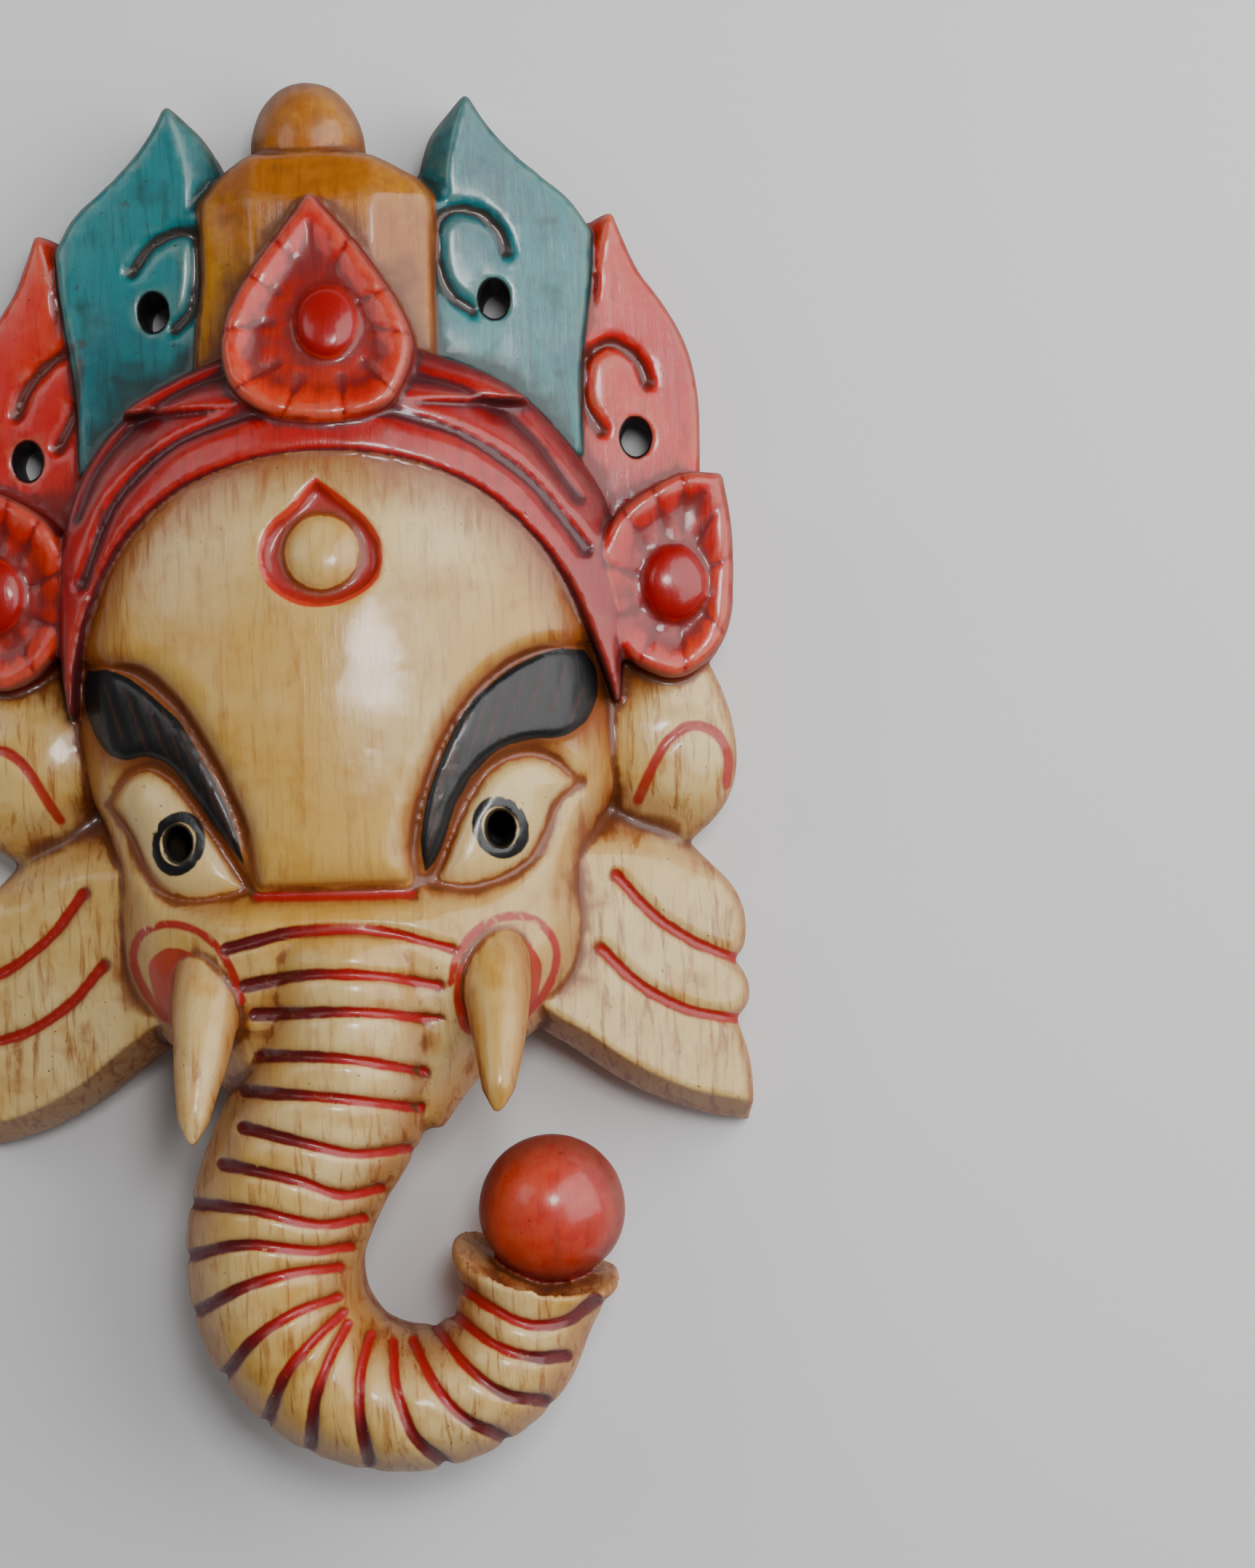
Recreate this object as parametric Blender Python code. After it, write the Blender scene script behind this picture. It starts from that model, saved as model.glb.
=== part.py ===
"""A carved and painted wooden elephant mask with a leaf crown, lying on its flat back.

The mask is one piece of wood. It lies face up: +Z points out of the face, +Y to the top of
the crown and +X to the right side of a person who looks at it. The origin is in the middle
of the flat back, under the centre of the mask's own box.

Free carving is laid out in carver's units. The height of the mask is HEIGHT_UNITS of them.
"""
import math

import bmesh
import bpy
import numpy as np
from mathutils import Matrix, Vector
from mathutils.geometry import delaunay_2d_cdt

# Driving sizes in metres
MASK_HEIGHT = 0.250
HOLLOW_WALL = 0.011
HOLLOW_RIM = 0.011
PUPIL_BORE = 0.0050
LEAF_BORE = 0.0054
BALL_DIAMETER = 0.0262
CUP_WALL = 0.0024
TUSK_ROOT = 0.0134
TRUNK_LIFT = 0.0050
STRIPE_DEPTH = 0.0010
BUTTON_RISE = 0.0022

# The mask's height in carver's units, the unit in metres, and the middle of the mask's box
HEIGHT_UNITS = 251.2
UNIT = MASK_HEIGHT / HEIGHT_UNITS
CARVING_MIDDLE = (0.65, 0.60)

# How finely the carving is sampled, in units, and the faces that the finished mask may have
EDGE_STEP = 2.2
FACE_SPACING = 2.4
JEWEL_SPACING = 2.0
LEAF_SPACING = 2.6
POT_SPACING = 3.0
TRUNK_SIDES = 20
TRUNK_POWERS = (0.92, 0.60)
TUSK_SIDES = 12
BORE_SIDES = 14
KNOB_SIDES = 22
BALL_SIDES = (28, 16)
HOLLOW_SIDES = 48
TRIANGLES = 9200
BACK_SNAP = 0.35
SHARP_ANGLE = 38.0

# Heights of the main surfaces over the back, in units
FOREHEAD_TOP = 50.0
BAND_TOP = 51.0
TRUNK_FRONT = 55.0
LEAF_TOP = 24.0
RED_LEAF_FALL = 2.0
POT_TOP = 31.0
JEWEL_TOP = 46.0
ROSETTE_TOP = 33.0
EAR_TOP = 27.0
EAR_FAN_TOP = 29.0
HOLLOW_LEAST = 3.0
THROUGH = 90.0
BORE_TALL = 1.28

# How the surfaces bend and lean: rise lost over a squared or a plain distance
BEND_ACROSS = 0.0068
BEND_ALONG = 0.0022
BEND_MIDDLE = 5.0
EAR_BEND_ACROSS = 0.020
EAR_BEND_ALONG = 0.018
EAR_LOBE = (57.0, 3.0)
EAR_LEAN = 0.36
EAR_ROOT = 45.0
EAR_FAN_FROM = -4.0
EAR_FAN_OVER = 14.0
LEAF_LEAN = 0.17
LEAF_ROOT = 20.0
RIDGE_FADE = 5.0
FLANK_LEAN = 1.1
JEWEL_LEAN = 0.24
ROSETTE_LEAN = 0.16
POT_SIDE_LEAN = 0.55
POT_SHOULDER_LEAN = 0.6

# Depths and radii of the carving, in units
PANEL_STEP = 3.6
PANEL_ROUND = 5.0
MUZZLE_RISE = 3.4
MUZZLE_TOP = -19.0
MUZZLE_SIDE = (34.0, 16.0)
MUZZLE_CORE = (26.0, 14.0)
MUZZLE_FADE = (7.0, 12.0)
CHEEK_RISE = 4.2
BROW_RISE = 1.7
BROW_ROUND = 1.6
EYE_RISE = 3.4
EYE_ROUND = 6.5
EYE_SINK = 2.2
TILAK_SINK = 1.9
TILAK_BUTTON_RISE = 2.6
HEAD_ROUND = 10.0
BAND_ROUND = 2.0
BAND_FALL = 7.0
BAND_FALL_FROM = 8.0
BAND_FALL_OVER = 12.0
BAND_CUT = (2.6, 1.5)
BAR_CUT = (2.4, 1.3)
EAR_CUT = (2.2, 1.6)
HOOK_CUT = (1.8, 0.6)
EAR_ROUND = 3.0
FOLD_DEPTH = 4.4
HEM_WIDTH = 4.6
HEM_DROP = 12.0
LEAF_ROUND = 1.0
SCROLL_CUT = (1.1, 1.4)
JEWEL_ROUND = 1.4
DISH_DEPTH = 2.4
DISH_WIDTH = 5.0
HOLLOW_ROUND = 14.0
WOOD_COLOUR = (0.76, 0.55, 0.28, 1.0)


def curve_through(points, step, closed=False):
    """Evenly spaced places on a smooth curve through the points."""
    knots = np.array(points, dtype=float)
    if closed:
        knots = np.vstack([knots[-2:], knots, knots[:3]])
    if len(knots) == 2:
        knots = np.vstack([knots[0], knots.mean(axis=0), knots[1]])
    chords = np.sqrt(np.linalg.norm(np.diff(knots, axis=0), axis=1))
    slopes = np.diff(knots, axis=0) / chords[:, None]
    before, after = chords[:-1, None], chords[1:, None]
    middle = (slopes[:-1] * after + slopes[1:] * before) / (before + after)
    tangents = np.vstack([slopes[0], middle, slopes[-1]])
    share = np.linspace(0.0, 1.0, 12, endpoint=False)[:, None]
    places = []
    first, last = (2, len(knots) - 3) if closed else (0, len(knots) - 1)
    for index in range(first, last):
        start, end = knots[index], knots[index + 1]
        lead, tail = tangents[index] * chords[index], tangents[index + 1] * chords[index]
        places.append((2 * share ** 3 - 3 * share ** 2 + 1) * start
                      + (share ** 3 - 2 * share ** 2 + share) * lead
                      + (3 * share ** 2 - 2 * share ** 3) * end
                      + (share ** 3 - share ** 2) * tail)
    path = np.vstack(places + [knots[last][None]])
    travel = np.concatenate([[0.0], np.cumsum(np.linalg.norm(np.diff(path, axis=0), axis=1))])
    count = max(2, int(round(travel[-1] / step)) + 1)
    stops = np.linspace(0.0, travel[-1], count)
    even = np.stack([np.interp(stops, travel, path[:, axis]) for axis in range(path.shape[1])], axis=1)
    return even[:-1] if closed else even


def outline(*runs, step=EDGE_STEP):
    """One closed outline of smooth runs. Each run ends where the next one starts, in a corner."""
    parts = []
    for index, run in enumerate(runs):
        corner = runs[(index + 1) % len(runs)][0]
        parts.append(curve_through(list(run) + [corner], step)[:-1])
    return np.vstack(parts)


def gap_to(spots, path, closed=False):
    """The distance from each spot to a path, and the share of the path passed there."""
    starts = path if closed else path[:-1]
    ends = np.roll(path, -1, axis=0) if closed else path[1:]
    runs = ends - starts
    squares = np.maximum((runs ** 2).sum(axis=1), 1e-9)
    offsets = spots[:, None, :] - starts[None]
    shares = np.clip((offsets * runs).sum(axis=2) / squares, 0.0, 1.0)
    gaps = np.linalg.norm(offsets - shares[..., None] * runs, axis=2)
    nearest = gaps.argmin(axis=1)
    rows = np.arange(len(spots))
    travel = np.concatenate([[0.0], np.cumsum(np.sqrt(squares))])
    passed = travel[nearest] + shares[rows, nearest] * np.sqrt(squares)[nearest]
    return gaps[rows, nearest], passed / travel[-1]


def depth_in(spots, rim):
    """How far each spot lies inside a closed rim. Spots outside it are below zero."""
    gaps = gap_to(spots, rim, closed=True)[0]
    starts, ends = rim, np.roll(rim, -1, axis=0)
    x, y = spots[:, 0:1], spots[:, 1:2]
    spans = (starts[:, 1] > y) != (ends[:, 1] > y)
    rise = np.where(np.abs(ends[:, 1] - starts[:, 1]) < 1e-12, 1e-12, ends[:, 1] - starts[:, 1])
    crossing = starts[:, 0] + (y - starts[:, 1]) * (ends[:, 0] - starts[:, 0]) / rise
    inside = (spans & (x < crossing)).sum(axis=1) % 2 == 1
    return np.where(inside, gaps, -gaps)


def quarter(share):
    """The height of a quarter round, from 0 at its foot to 1."""
    return np.sqrt(1.0 - (1.0 - np.clip(share, 0.0, 1.0)) ** 2)


def ease(share):
    """A smooth step from 0 to 1."""
    share = np.clip(share, 0.0, 1.0)
    return share * share * (3.0 - 2.0 * share)


def groove(spots, path, cut):
    """A rounded cut of a width and depth along a path, as a height to take away."""
    width, depth = cut
    return depth * np.exp(-(gap_to(spots, path)[0] / (0.5 * width)) ** 2)


def bent(spots, top):
    """The height of the domed board that the face and the band are carved in."""
    return top - BEND_ACROSS * spots[:, 0] ** 2 - BEND_ALONG * (spots[:, 1] - BEND_MIDDLE) ** 2


def rounded(depths, radius):
    """What a rounded edge of this radius takes away at each depth inside the edge."""
    return radius * (1.0 - quarter(depths / radius))


def cut_lines(path, width):
    """The bottom and both edges of a cut along a path."""
    along = np.gradient(path, axis=0)
    along /= np.maximum(np.linalg.norm(along, axis=1), 1e-9)[:, None]
    across = np.stack([-along[:, 1], along[:, 0]], axis=1)
    return [path, path + 0.6 * width * across, path - 0.6 * width * across]


def inset(rim, depth):
    """The line that runs inside a closed rim at this depth."""
    after, before = np.roll(rim, -1, axis=0), np.roll(rim, 1, axis=0)
    along = (after - before) / np.maximum(np.linalg.norm(after - before, axis=1), 1e-9)[:, None]
    turns_left = (rim[:, 0] * after[:, 1] - after[:, 0] * rim[:, 1]).sum() > 0.0
    inward = np.stack([-along[:, 1], along[:, 0]], axis=1) * (1.0 if turns_left else -1.0)
    line = rim + depth * inward
    gaps = gap_to(line, rim, closed=True)[0]
    return line[gaps > 0.85 * abs(depth)]


def circle(centre, radius, squash=1.0):
    """Places round an upright oval."""
    turns = np.linspace(0.0, 2.0 * math.pi, max(12, int(4.0 * radius)), endpoint=False)
    return np.stack([centre[0] + radius * np.cos(turns), centre[1] + squash * radius * np.sin(turns)],
                    axis=1)


# Outlines of the head, in units
HEAD_RIM = outline(
    [(0, 66), (18, 63), (34, 53), (44, 40), (48, 26), (50.2, 9), (49.6, -4), (46, -11), (44.6, -20),
     (45, -30), (43, -38), (38.5, -43.5), (30, -50), (22, -56.5)],
    [(16, -64), (-14, -64)],
    [(-20, -58), (-28, -51), (-35, -45.5), (-40, -37), (-41, -26), (-41, -16), (-42.4, -9),
     (-45, -3), (-47, 8), (-47, 24), (-43, 39), (-33, 53), (-18, 62)])
PANEL_LEFT = curve_through(
    [(-14, -20), (-15.2, -9.8), (-17.2, -4.2), (-20.4, 3), (-24, 9.4), (-28, 15), (-33.6, 19.5),
     (-44, 20.5)], EDGE_STEP)
PANEL_RIGHT = curve_through(
    [(44.5, 21), (35.2, 19.8), (28.8, 16.2), (24, 11.4), (20, 6), (17.2, 0.4), (14.8, -6),
     (13.2, -13), (13, -20)], EDGE_STEP)
PANEL_RIM = np.vstack([PANEL_RIGHT, PANEL_LEFT, [(-60, 22), (-60, 80), (60, 80), (60, 22)]])
RIGHT_BROW = outline(
    [(44.6, 20.4), (39, 20.2), (34, 18.4), (28.8, 15.2), (24.6, 11.4), (21.2, 6.4), (18, -0.4),
     (15.8, -7), (14.8, -13)],
    [(15.4, -18.4), (17.8, -15.5), (19.6, -11.4), (21.4, -6.4), (24.6, -1.4), (29.6, 3),
     (35, 4.4), (40.4, 4.8), (44.6, 7.4), (46.8, 12), (46.6, 17)])
LEFT_BROW = outline(
    [(-44, 20), (-39.4, 19.8), (-35, 17.8), (-30, 13.6), (-26, 9.4), (-23, 4.2), (-20, -1.8),
     (-17.4, -8.6)],
    [(-15.8, -16.4), (-18.6, -12.4), (-22.2, -7.4), (-25.4, -2.4), (-29, 2.2), (-33, 4),
     (-37.4, 3.6), (-41.4, 6), (-44.2, 11.6), (-45, 16.6)])
RIGHT_EYE = outline(
    [(17.4, -19.4), (20.4, -12.6), (23.8, -6), (27.8, -0.8), (33, 1.4), (37.6, 0.6)],
    [(42, -3.4), (38.6, -6.6), (36.4, -11.4), (33.4, -16.2), (28, -19.4), (22, -20.6)])
LEFT_EYE = outline(
    [(-16.4, -19.8), (-20.4, -12.6), (-25, -5.4), (-29.2, -0.4), (-33, 1.6), (-37, 0.2)],
    [(-40.6, -4), (-37, -9.4), (-34, -15.6), (-30.6, -19.6), (-26, -21), (-21, -20.8)])
PUPILS = ((28.8, -11.0), (-27.8, -11.4))
TILAK_RIM = outline(
    [(-1, 51.2), (-4.8, 46.8), (-8.8, 43.4), (-10.8, 38.6), (-9.6, 33.6), (-5.4, 30.2), (0, 29.2),
     (5, 30.4), (9.2, 33.8), (10, 39), (7.8, 43.4), (3.4, 47.6)], step=1.6)
TILAK_BUTTON = (-0.2, 38.4)
TILAK_BUTTON_SIZE = 6.6
BAR = curve_through([(-14, -21.2), (0, -21.6), (13, -21.8)], EDGE_STEP)
CHEEKS = ((30.5, -33.0), (-28.5, -33.0))
CHEEK_SIZE = 11.3
HOLLOW_MIDDLE = np.array([1.0, 10.0])

# Outlines of the band and the crown
BAND_EDGE = curve_through(
    [(50.4, 9), (46.8, 20), (42.6, 31), (36.6, 40), (27, 48.6), (15, 53.8), (0, 56),
     (-14, 54.4), (-26, 50), (-36.6, 41), (-42.6, 30), (-45.4, 20), (-46.8, 8.6)], EDGE_STEP)
BAND_RIM = np.vstack([BAND_EDGE, curve_through(
    [(-48.4, 20), (-48.6, 34), (-47, 47), (-43, 57.5), (-34, 67), (-22, 73.4), (-8, 76.4),
     (8, 76.4), (22, 73.4), (35, 66.4), (44, 56.4), (50, 45), (52, 28)], EDGE_STEP)])
BAND_GROOVES = (
    curve_through([(17, 69.4), (27, 66), (36, 59), (44.6, 47)], EDGE_STEP),
    curve_through([(13, 62.6), (25, 58.2), (36, 50.2), (45.6, 38)], EDGE_STEP),
    curve_through([(-25, 68.4), (-34, 62.8), (-41, 55), (-44.6, 47)], EDGE_STEP),
    curve_through([(-12, 63.2), (-26, 58.6), (-37, 49), (-43.4, 35)], EDGE_STEP))
POT_RIM = outline(
    [(-12.6, 112), (-17.6, 108.6)], [(-21.6, 103.4), (-21.6, 92), (-21.2, 60)],
    [(20, 60), (20.4, 92), (20.6, 103)], [(17.6, 107), (8.6, 111.4)])
POT_PANEL = (-0.6, 11.0, 103.0)
KNOB_CENTRE = (-2.2, 15.0)
KNOB_FLAT = 0.95
KNOB_PROFILE = curve_through(
    [(10.4, 108.5), (10.5, 113), (9.9, 117.4), (7.8, 121.8), (4.4, 125), (0.01, 126.2)], 1.6)
TEAL_LEAF = outline(
    [(27.2, 122), (30.4, 116.6), (34.8, 111.4), (40.4, 106.6), (45, 102.6)],
    [(48.8, 96.6), (48, 86), (46.2, 73)], [(45.6, 56), (18, 56)], [(17, 80), (17, 100)],
    [(17.4, 107), (20, 114.6), (24.2, 119.2)])
TEAL_RIDGE = curve_through([(27.2, 122), (24.6, 113.5), (23.4, 106), (25, 101)], EDGE_STEP)
TEAL_SCROLL = ((27.4, 89.6), 6.6)
TEAL_HOLE = (30.8, 84.4)
RED_LEAF = outline(
    [(52.6, 100.4), (54.4, 95.6), (57, 89.6), (61.4, 83.4), (65, 76.6), (67, 68), (67.2, 60)],
    [(66.4, 44), (44, 44)], [(44, 70), (46, 93)], [(47.6, 98.4), (50.4, 99.8)])
RED_RIDGE = curve_through([(52.6, 100.4), (50.4, 93), (49.6, 82)], EDGE_STEP)
RED_SCROLL = ((51.6, 66.0), 5.4)
RED_HOLE = (55.4, 59.0)
JEWEL_RIM = outline(
    [(-1, 103.6), (-6.2, 96.4), (-11.6, 89.4), (-15.8, 81.4), (-17, 74.6), (-15.4, 68.4),
     (-10.4, 63.8), (-2, 61.6), (7, 62), (12.6, 64.2), (15.8, 70), (16.6, 75.4), (14.4, 82),
     (9.6, 90), (4.2, 97)], step=1.8)
JEWEL_BUTTON = (1.8, 79.2)
ROSETTE_RIM = outline(
    [(70.6, 51), (71.8, 42), (71.8, 31), (71, 24.6), (68, 18.6), (61.4, 14.6), (56, 15.9),
     (51.4, 19.4), (48.4, 24.4), (47.2, 31), (48, 37.6), (51.2, 44), (56.6, 48.2), (64, 51.4)],
    step=1.8)
ROSETTE_BUTTON = (61.4, 31.4)
LEFT_ROSETTE_SHIFT = (1.2, 2.4)
BUTTON_SIZE = 5.4
BUTTON_TALL = 1.2

# Outlines of the ears
EAR_RIM = outline(
    [(40, 26), (60, 26), (66.6, 18), (70, 10), (71.4, 2), (70.6, -5), (67.4, -10.4)],
    [(62.2, -15.2), (66, -19), (69.8, -23.4), (71.9, -29), (71.4, -34.4)],
    [(69.4, -36.9), (71.8, -40.4), (71.8, -44.6)],
    [(69.6, -47.4), (71.6, -54.6), (72, -62)],
    [(71.4, -67.2), (60, -64), (49, -58.6), (40, -52), (33.5, -47.5), (26, -40)])
EAR_HOOK = curve_through(
    [(53.2, -7), (55.8, -1.6), (59, 3.4), (63.2, 6), (67.4, 4.6), (69.8, 0.4), (69.2, -5)], EDGE_STEP)
EAR_LINES = (
    curve_through([(48.8, -20.4), (55, -27.6), (62, -32.8), (70, -36.6)], EDGE_STEP),
    curve_through([(45.6, -33.4), (52, -40), (60.4, -45), (70.2, -47.6)], EDGE_STEP))
EAR_FOLD = curve_through([(64, -16), (58, -13), (50, -9.4), (46, -6)], EDGE_STEP)
EAR_HEM = curve_through([(26, -40), (33.5, -47.5), (40, -52), (49, -58.6), (60, -64), (71.4, -67.2)],
                        EDGE_STEP)
LEFT_EAR_SHIFT = (2.0, 0.6)

# The trunk: middle line, half width and front height at the same places
TRUNK_LINE = [(0, -18), (0.6, -30), (1, -44), (-3, -58), (-10.4, -71), (-14.8, -85), (-12.8, -98),
              (-4.4, -108.4), (7, -112.6), (18, -111), (26, -105), (29.4, -97), (31.8, -88)]
TRUNK_HALF = [15.0, 17.4, 16.6, 16.8, 16.4, 15.6, 14.8, 13.4, 12.4, 11.8, 11.9, 12.3, 13.4]
TRUNK_RISE = [-9.0, -1.2, 0.0, 0.0, -1.0, -2.5, -4.5, -6.5, -8.0, -9.0, -9.5, -10.0, -10.0]
STRIPE_STATIONS = (0.070, 0.109, 0.142, 0.182, 0.220, 0.257, 0.297, 0.338, 0.383, 0.432, 0.485,
                   0.535, 0.583, 0.636, 0.694, 0.748, 0.806, 0.866, 0.925)
BALL_CENTRE = (34.8, -79.6, 25.0)
CUP_DIP = 3.6

# The tusks: middle line and share of the root's width at the same places
RIGHT_TUSK = [(26.4, -30, 36), (27.0, -37, 43), (27.4, -46, 49.5), (27.2, -54, 54), (26.8, -59.8, 56)]
LEFT_TUSK = [(-23.2, -30, 36), (-23.4, -38, 43.5), (-24.2, -48, 50), (-25.2, -57, 54.5),
             (-25.8, -63.4, 56.5)]
TUSK_SHARES = [0.42, 0.46, 0.36, 0.22, 0.09]


def face_front(spots):
    """Height of the forehead, brows, eyes and cheeks."""
    x, y = spots[:, 0], spots[:, 1]
    height = bent(spots, FOREHEAD_TOP)
    panel = quarter(depth_in(spots, PANEL_RIM) / PANEL_ROUND)
    side, side_fade = MUZZLE_SIDE
    core, core_fade = MUZZLE_CORE
    muzzle = ease((MUZZLE_TOP - y) / MUZZLE_FADE[0]) * ease((side - np.abs(x)) / side_fade)
    height -= PANEL_STEP * (1.0 - np.maximum(panel, muzzle))
    swell = ease((MUZZLE_TOP - y) / MUZZLE_FADE[1]) * ease((core - np.abs(x)) / core_fade)
    height += MUZZLE_RISE * swell
    for cheek in CHEEKS:
        away = ((x - cheek[0]) ** 2 + (y - cheek[1]) ** 2) / CHEEK_SIZE ** 2
        height += CHEEK_RISE * np.exp(-away)
    for brow in (RIGHT_BROW, LEFT_BROW):
        height += BROW_RISE * quarter(depth_in(spots, brow) / BROW_ROUND)
    for eye in (RIGHT_EYE, LEFT_EYE):
        depth = depth_in(spots, eye)
        height += EYE_RISE * quarter(depth / EYE_ROUND)
        height -= EYE_SINK * np.exp(-(np.maximum(-depth, 0.0) / EYE_SINK) ** 2)
    height -= TILAK_SINK * quarter(depth_in(spots, TILAK_RIM) / TILAK_SINK)
    button = np.linalg.norm(spots - TILAK_BUTTON, axis=1) / TILAK_BUTTON_SIZE
    height += TILAK_BUTTON_RISE * np.sqrt(np.clip(1.0 - button ** 2, 0.0, 1.0))
    height -= groove(spots, BAR, BAR_CUT)
    return height - rounded(depth_in(spots, HEAD_RIM), HEAD_ROUND)


def band_front(spots):
    """Height of the red band over the forehead, with its carved grooves."""
    height = bent(spots, BAND_TOP) - rounded(depth_in(spots, BAND_RIM), BAND_ROUND)
    away = gap_to(spots, BAND_EDGE)[0]
    height -= BAND_FALL * ease((away - BAND_FALL_FROM) / BAND_FALL_OVER)
    for path in BAND_GROOVES:
        height -= groove(spots, path, BAND_CUT)
    return height


def pot_front(spots):
    """Height of the faceted pot behind the jewel."""
    x, y = spots[:, 0], spots[:, 1]
    sides = POT_SIDE_LEAN * np.maximum(np.abs(x - POT_PANEL[0]) - POT_PANEL[1], 0.0)
    shoulders = POT_SHOULDER_LEAN * np.maximum(y - POT_PANEL[2], 0.0)
    return POT_TOP - sides - shoulders - rounded(depth_in(spots, POT_RIM), BROW_ROUND)


def ridge_inset(spots, ridge, side):
    """How far a spot lies on the inner side of a leaf's ridge, above the ridge's lower end."""
    order = np.argsort(ridge[:, 1])
    line = np.interp(spots[:, 1], ridge[order, 1], side * ridge[order, 0])
    above = ease((spots[:, 1] - ridge[:, 1].min()) / RIDGE_FADE)
    return np.maximum((line - side * spots[:, 0]) * above, 0.0)


def leaf_front(rim, ridge, scroll, top, side):
    """Height function of one crown leaf: it falls away from the middle of the mask."""
    centre, radius = (side * scroll[0][0], scroll[0][1]), scroll[1]
    width, depth = SCROLL_CUT

    def front(spots):
        height = top - LEAF_LEAN * np.maximum(spots[:, 0] * side - LEAF_ROOT, 0.0)
        height -= FLANK_LEAN * ridge_inset(spots, ridge, side)
        ring = np.abs(np.linalg.norm(spots - centre, axis=1) - radius)
        height -= depth * np.exp(-(ring / width) ** 2)
        return height - rounded(depth_in(spots, rim), LEAF_ROUND)
    return front


def dished_front(rim, button, plane):
    """Height function of a jewel: a raised rim, a dished field and a domed button."""
    dome = 0.5 * DISH_DEPTH + BUTTON_RISE / UNIT

    def front(spots):
        depth = depth_in(spots, rim)
        dish = DISH_DEPTH * ease((depth - JEWEL_ROUND) / DISH_WIDTH)
        away = np.linalg.norm((spots - button) / (BUTTON_SIZE, BUTTON_TALL * BUTTON_SIZE), axis=1)
        swell = dome * np.sqrt(np.clip(1.0 - away ** 2, 0.0, 1.0))
        return plane(spots) - rounded(depth, JEWEL_ROUND) - dish + swell
    return front


def ear_front(side, shift):
    """Height function of one ear: a round upper lobe and a fan of lower lobes."""
    def front(spots):
        own = (spots - shift) * (side, 1.0)
        x, y = own[:, 0], own[:, 1]
        upper = EAR_TOP - EAR_BEND_ACROSS * (x - EAR_LOBE[0]) ** 2
        upper -= EAR_BEND_ALONG * (y - EAR_LOBE[1]) ** 2
        fan = EAR_FAN_TOP - EAR_LEAN * (x - EAR_ROOT)
        height = upper + (fan - upper) * ease((EAR_FAN_FROM - y) / EAR_FAN_OVER)
        height -= FOLD_DEPTH * np.exp(-(gap_to(own, EAR_FOLD)[0] / FOLD_DEPTH) ** 2)
        for path in EAR_LINES:
            height -= groove(own, path, EAR_CUT)
        height -= groove(own, EAR_HOOK, HOOK_CUT)
        height -= rounded(depth_in(own, EAR_RIM), EAR_ROUND)
        hem = gap_to(own, EAR_HEM)[0]
        return height - HEM_DROP * np.clip(1.0 - hem / HEM_WIDTH, 0.0, 1.0)
    return front


def jewel_plane(spots):
    """The leaning plane that the rim of the drop jewel lies in."""
    return JEWEL_TOP - JEWEL_LEAN * (spots[:, 1] - JEWEL_RIM[:, 1].min())


def rosette_plane(spots):
    """The leaning plane that the rim of a rosette lies in."""
    return ROSETTE_TOP - ROSETTE_LEAN * (np.abs(spots[:, 0]) - ROSETTE_RIM[:, 0].min())


def closed_object(name, shape, collection):
    """Make an object of a mesh in units, at its real size."""
    bmesh.ops.recalc_face_normals(shape, faces=shape.faces)
    bmesh.ops.translate(shape, vec=(-CARVING_MIDDLE[0], -CARVING_MIDDLE[1], 0.0), verts=shape.verts)
    bmesh.ops.scale(shape, vec=(UNIT, UNIT, UNIT), verts=shape.verts)
    mesh = bpy.data.meshes.new(name)
    shape.to_mesh(mesh)
    shape.free()
    piece = bpy.data.objects.new(name, mesh)
    collection.objects.link(piece)
    return piece


def relief(name, rim, front, collection, lines=(), base=0.0, spacing=FACE_SPACING):
    """A slab inside the rim. Its face has the height that front gives, its back is flat."""
    low, high = rim.min(axis=0), rim.max(axis=0)
    rows = np.arange(low[1], high[1], spacing * math.sqrt(0.75))
    columns = np.arange(low[0], high[0], spacing)
    grid = np.array([(x + 0.5 * spacing * (row % 2), y) for row, y in enumerate(rows) for x in columns])
    grid = grid[depth_in(grid, rim) > 0.6 * spacing]
    kept = [rim]
    for line in lines:
        line = line[depth_in(line, rim) > 0.5]
        if len(line):
            grid = grid[gap_to(grid, line)[0] > 0.5 * spacing] if len(line) > 1 else grid
            kept.append(line)
    spots = [Vector(spot) for spot in np.vstack(kept + [grid])]
    flat, _, faces, _, _, _ = delaunay_2d_cdt(spots, [], [list(range(len(rim)))], 1, 1e-4)
    shape = bmesh.new()
    heights = front(np.array([tuple(spot) for spot in flat]))
    verts = [shape.verts.new((spot.x, spot.y, height)) for spot, height in zip(flat, heights)]
    for face in faces:
        shape.faces.new([verts[index] for index in face])
    loose = [vert for vert in verts if not vert.link_faces]
    bmesh.ops.delete(shape, geom=loose, context="VERTS")
    border = [edge for edge in shape.edges if edge.is_boundary]
    wall = bmesh.ops.extrude_edge_only(shape, edges=border)["geom"]
    for vert in wall:
        if isinstance(vert, bmesh.types.BMVert):
            vert.co.z = base
    foot = [edge for edge in shape.edges if edge.is_boundary]
    bmesh.ops.contextual_create(shape, geom=foot)
    return closed_object(name, shape, collection)


def turned(path, side, shift=(0.0, 0.0)):
    """A path of the right side as it runs on either side of the mask, moved by a shift."""
    moved = path * (side, 1.0) + shift
    return moved if side > 0 else moved[::-1]


def jewel(name, rim, button, plane, collection):
    """A dished jewel with a domed button."""
    lines = [circle(button, BUTTON_SIZE, BUTTON_TALL), circle(button, 0.86 * BUTTON_SIZE, BUTTON_TALL),
             inset(rim, 0.4 * JEWEL_ROUND), inset(rim, JEWEL_ROUND), inset(rim, 0.8 * DISH_WIDTH)]
    return relief(name, rim, dished_front(rim, button, plane), collection, lines=lines,
                  spacing=JEWEL_SPACING)


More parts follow.
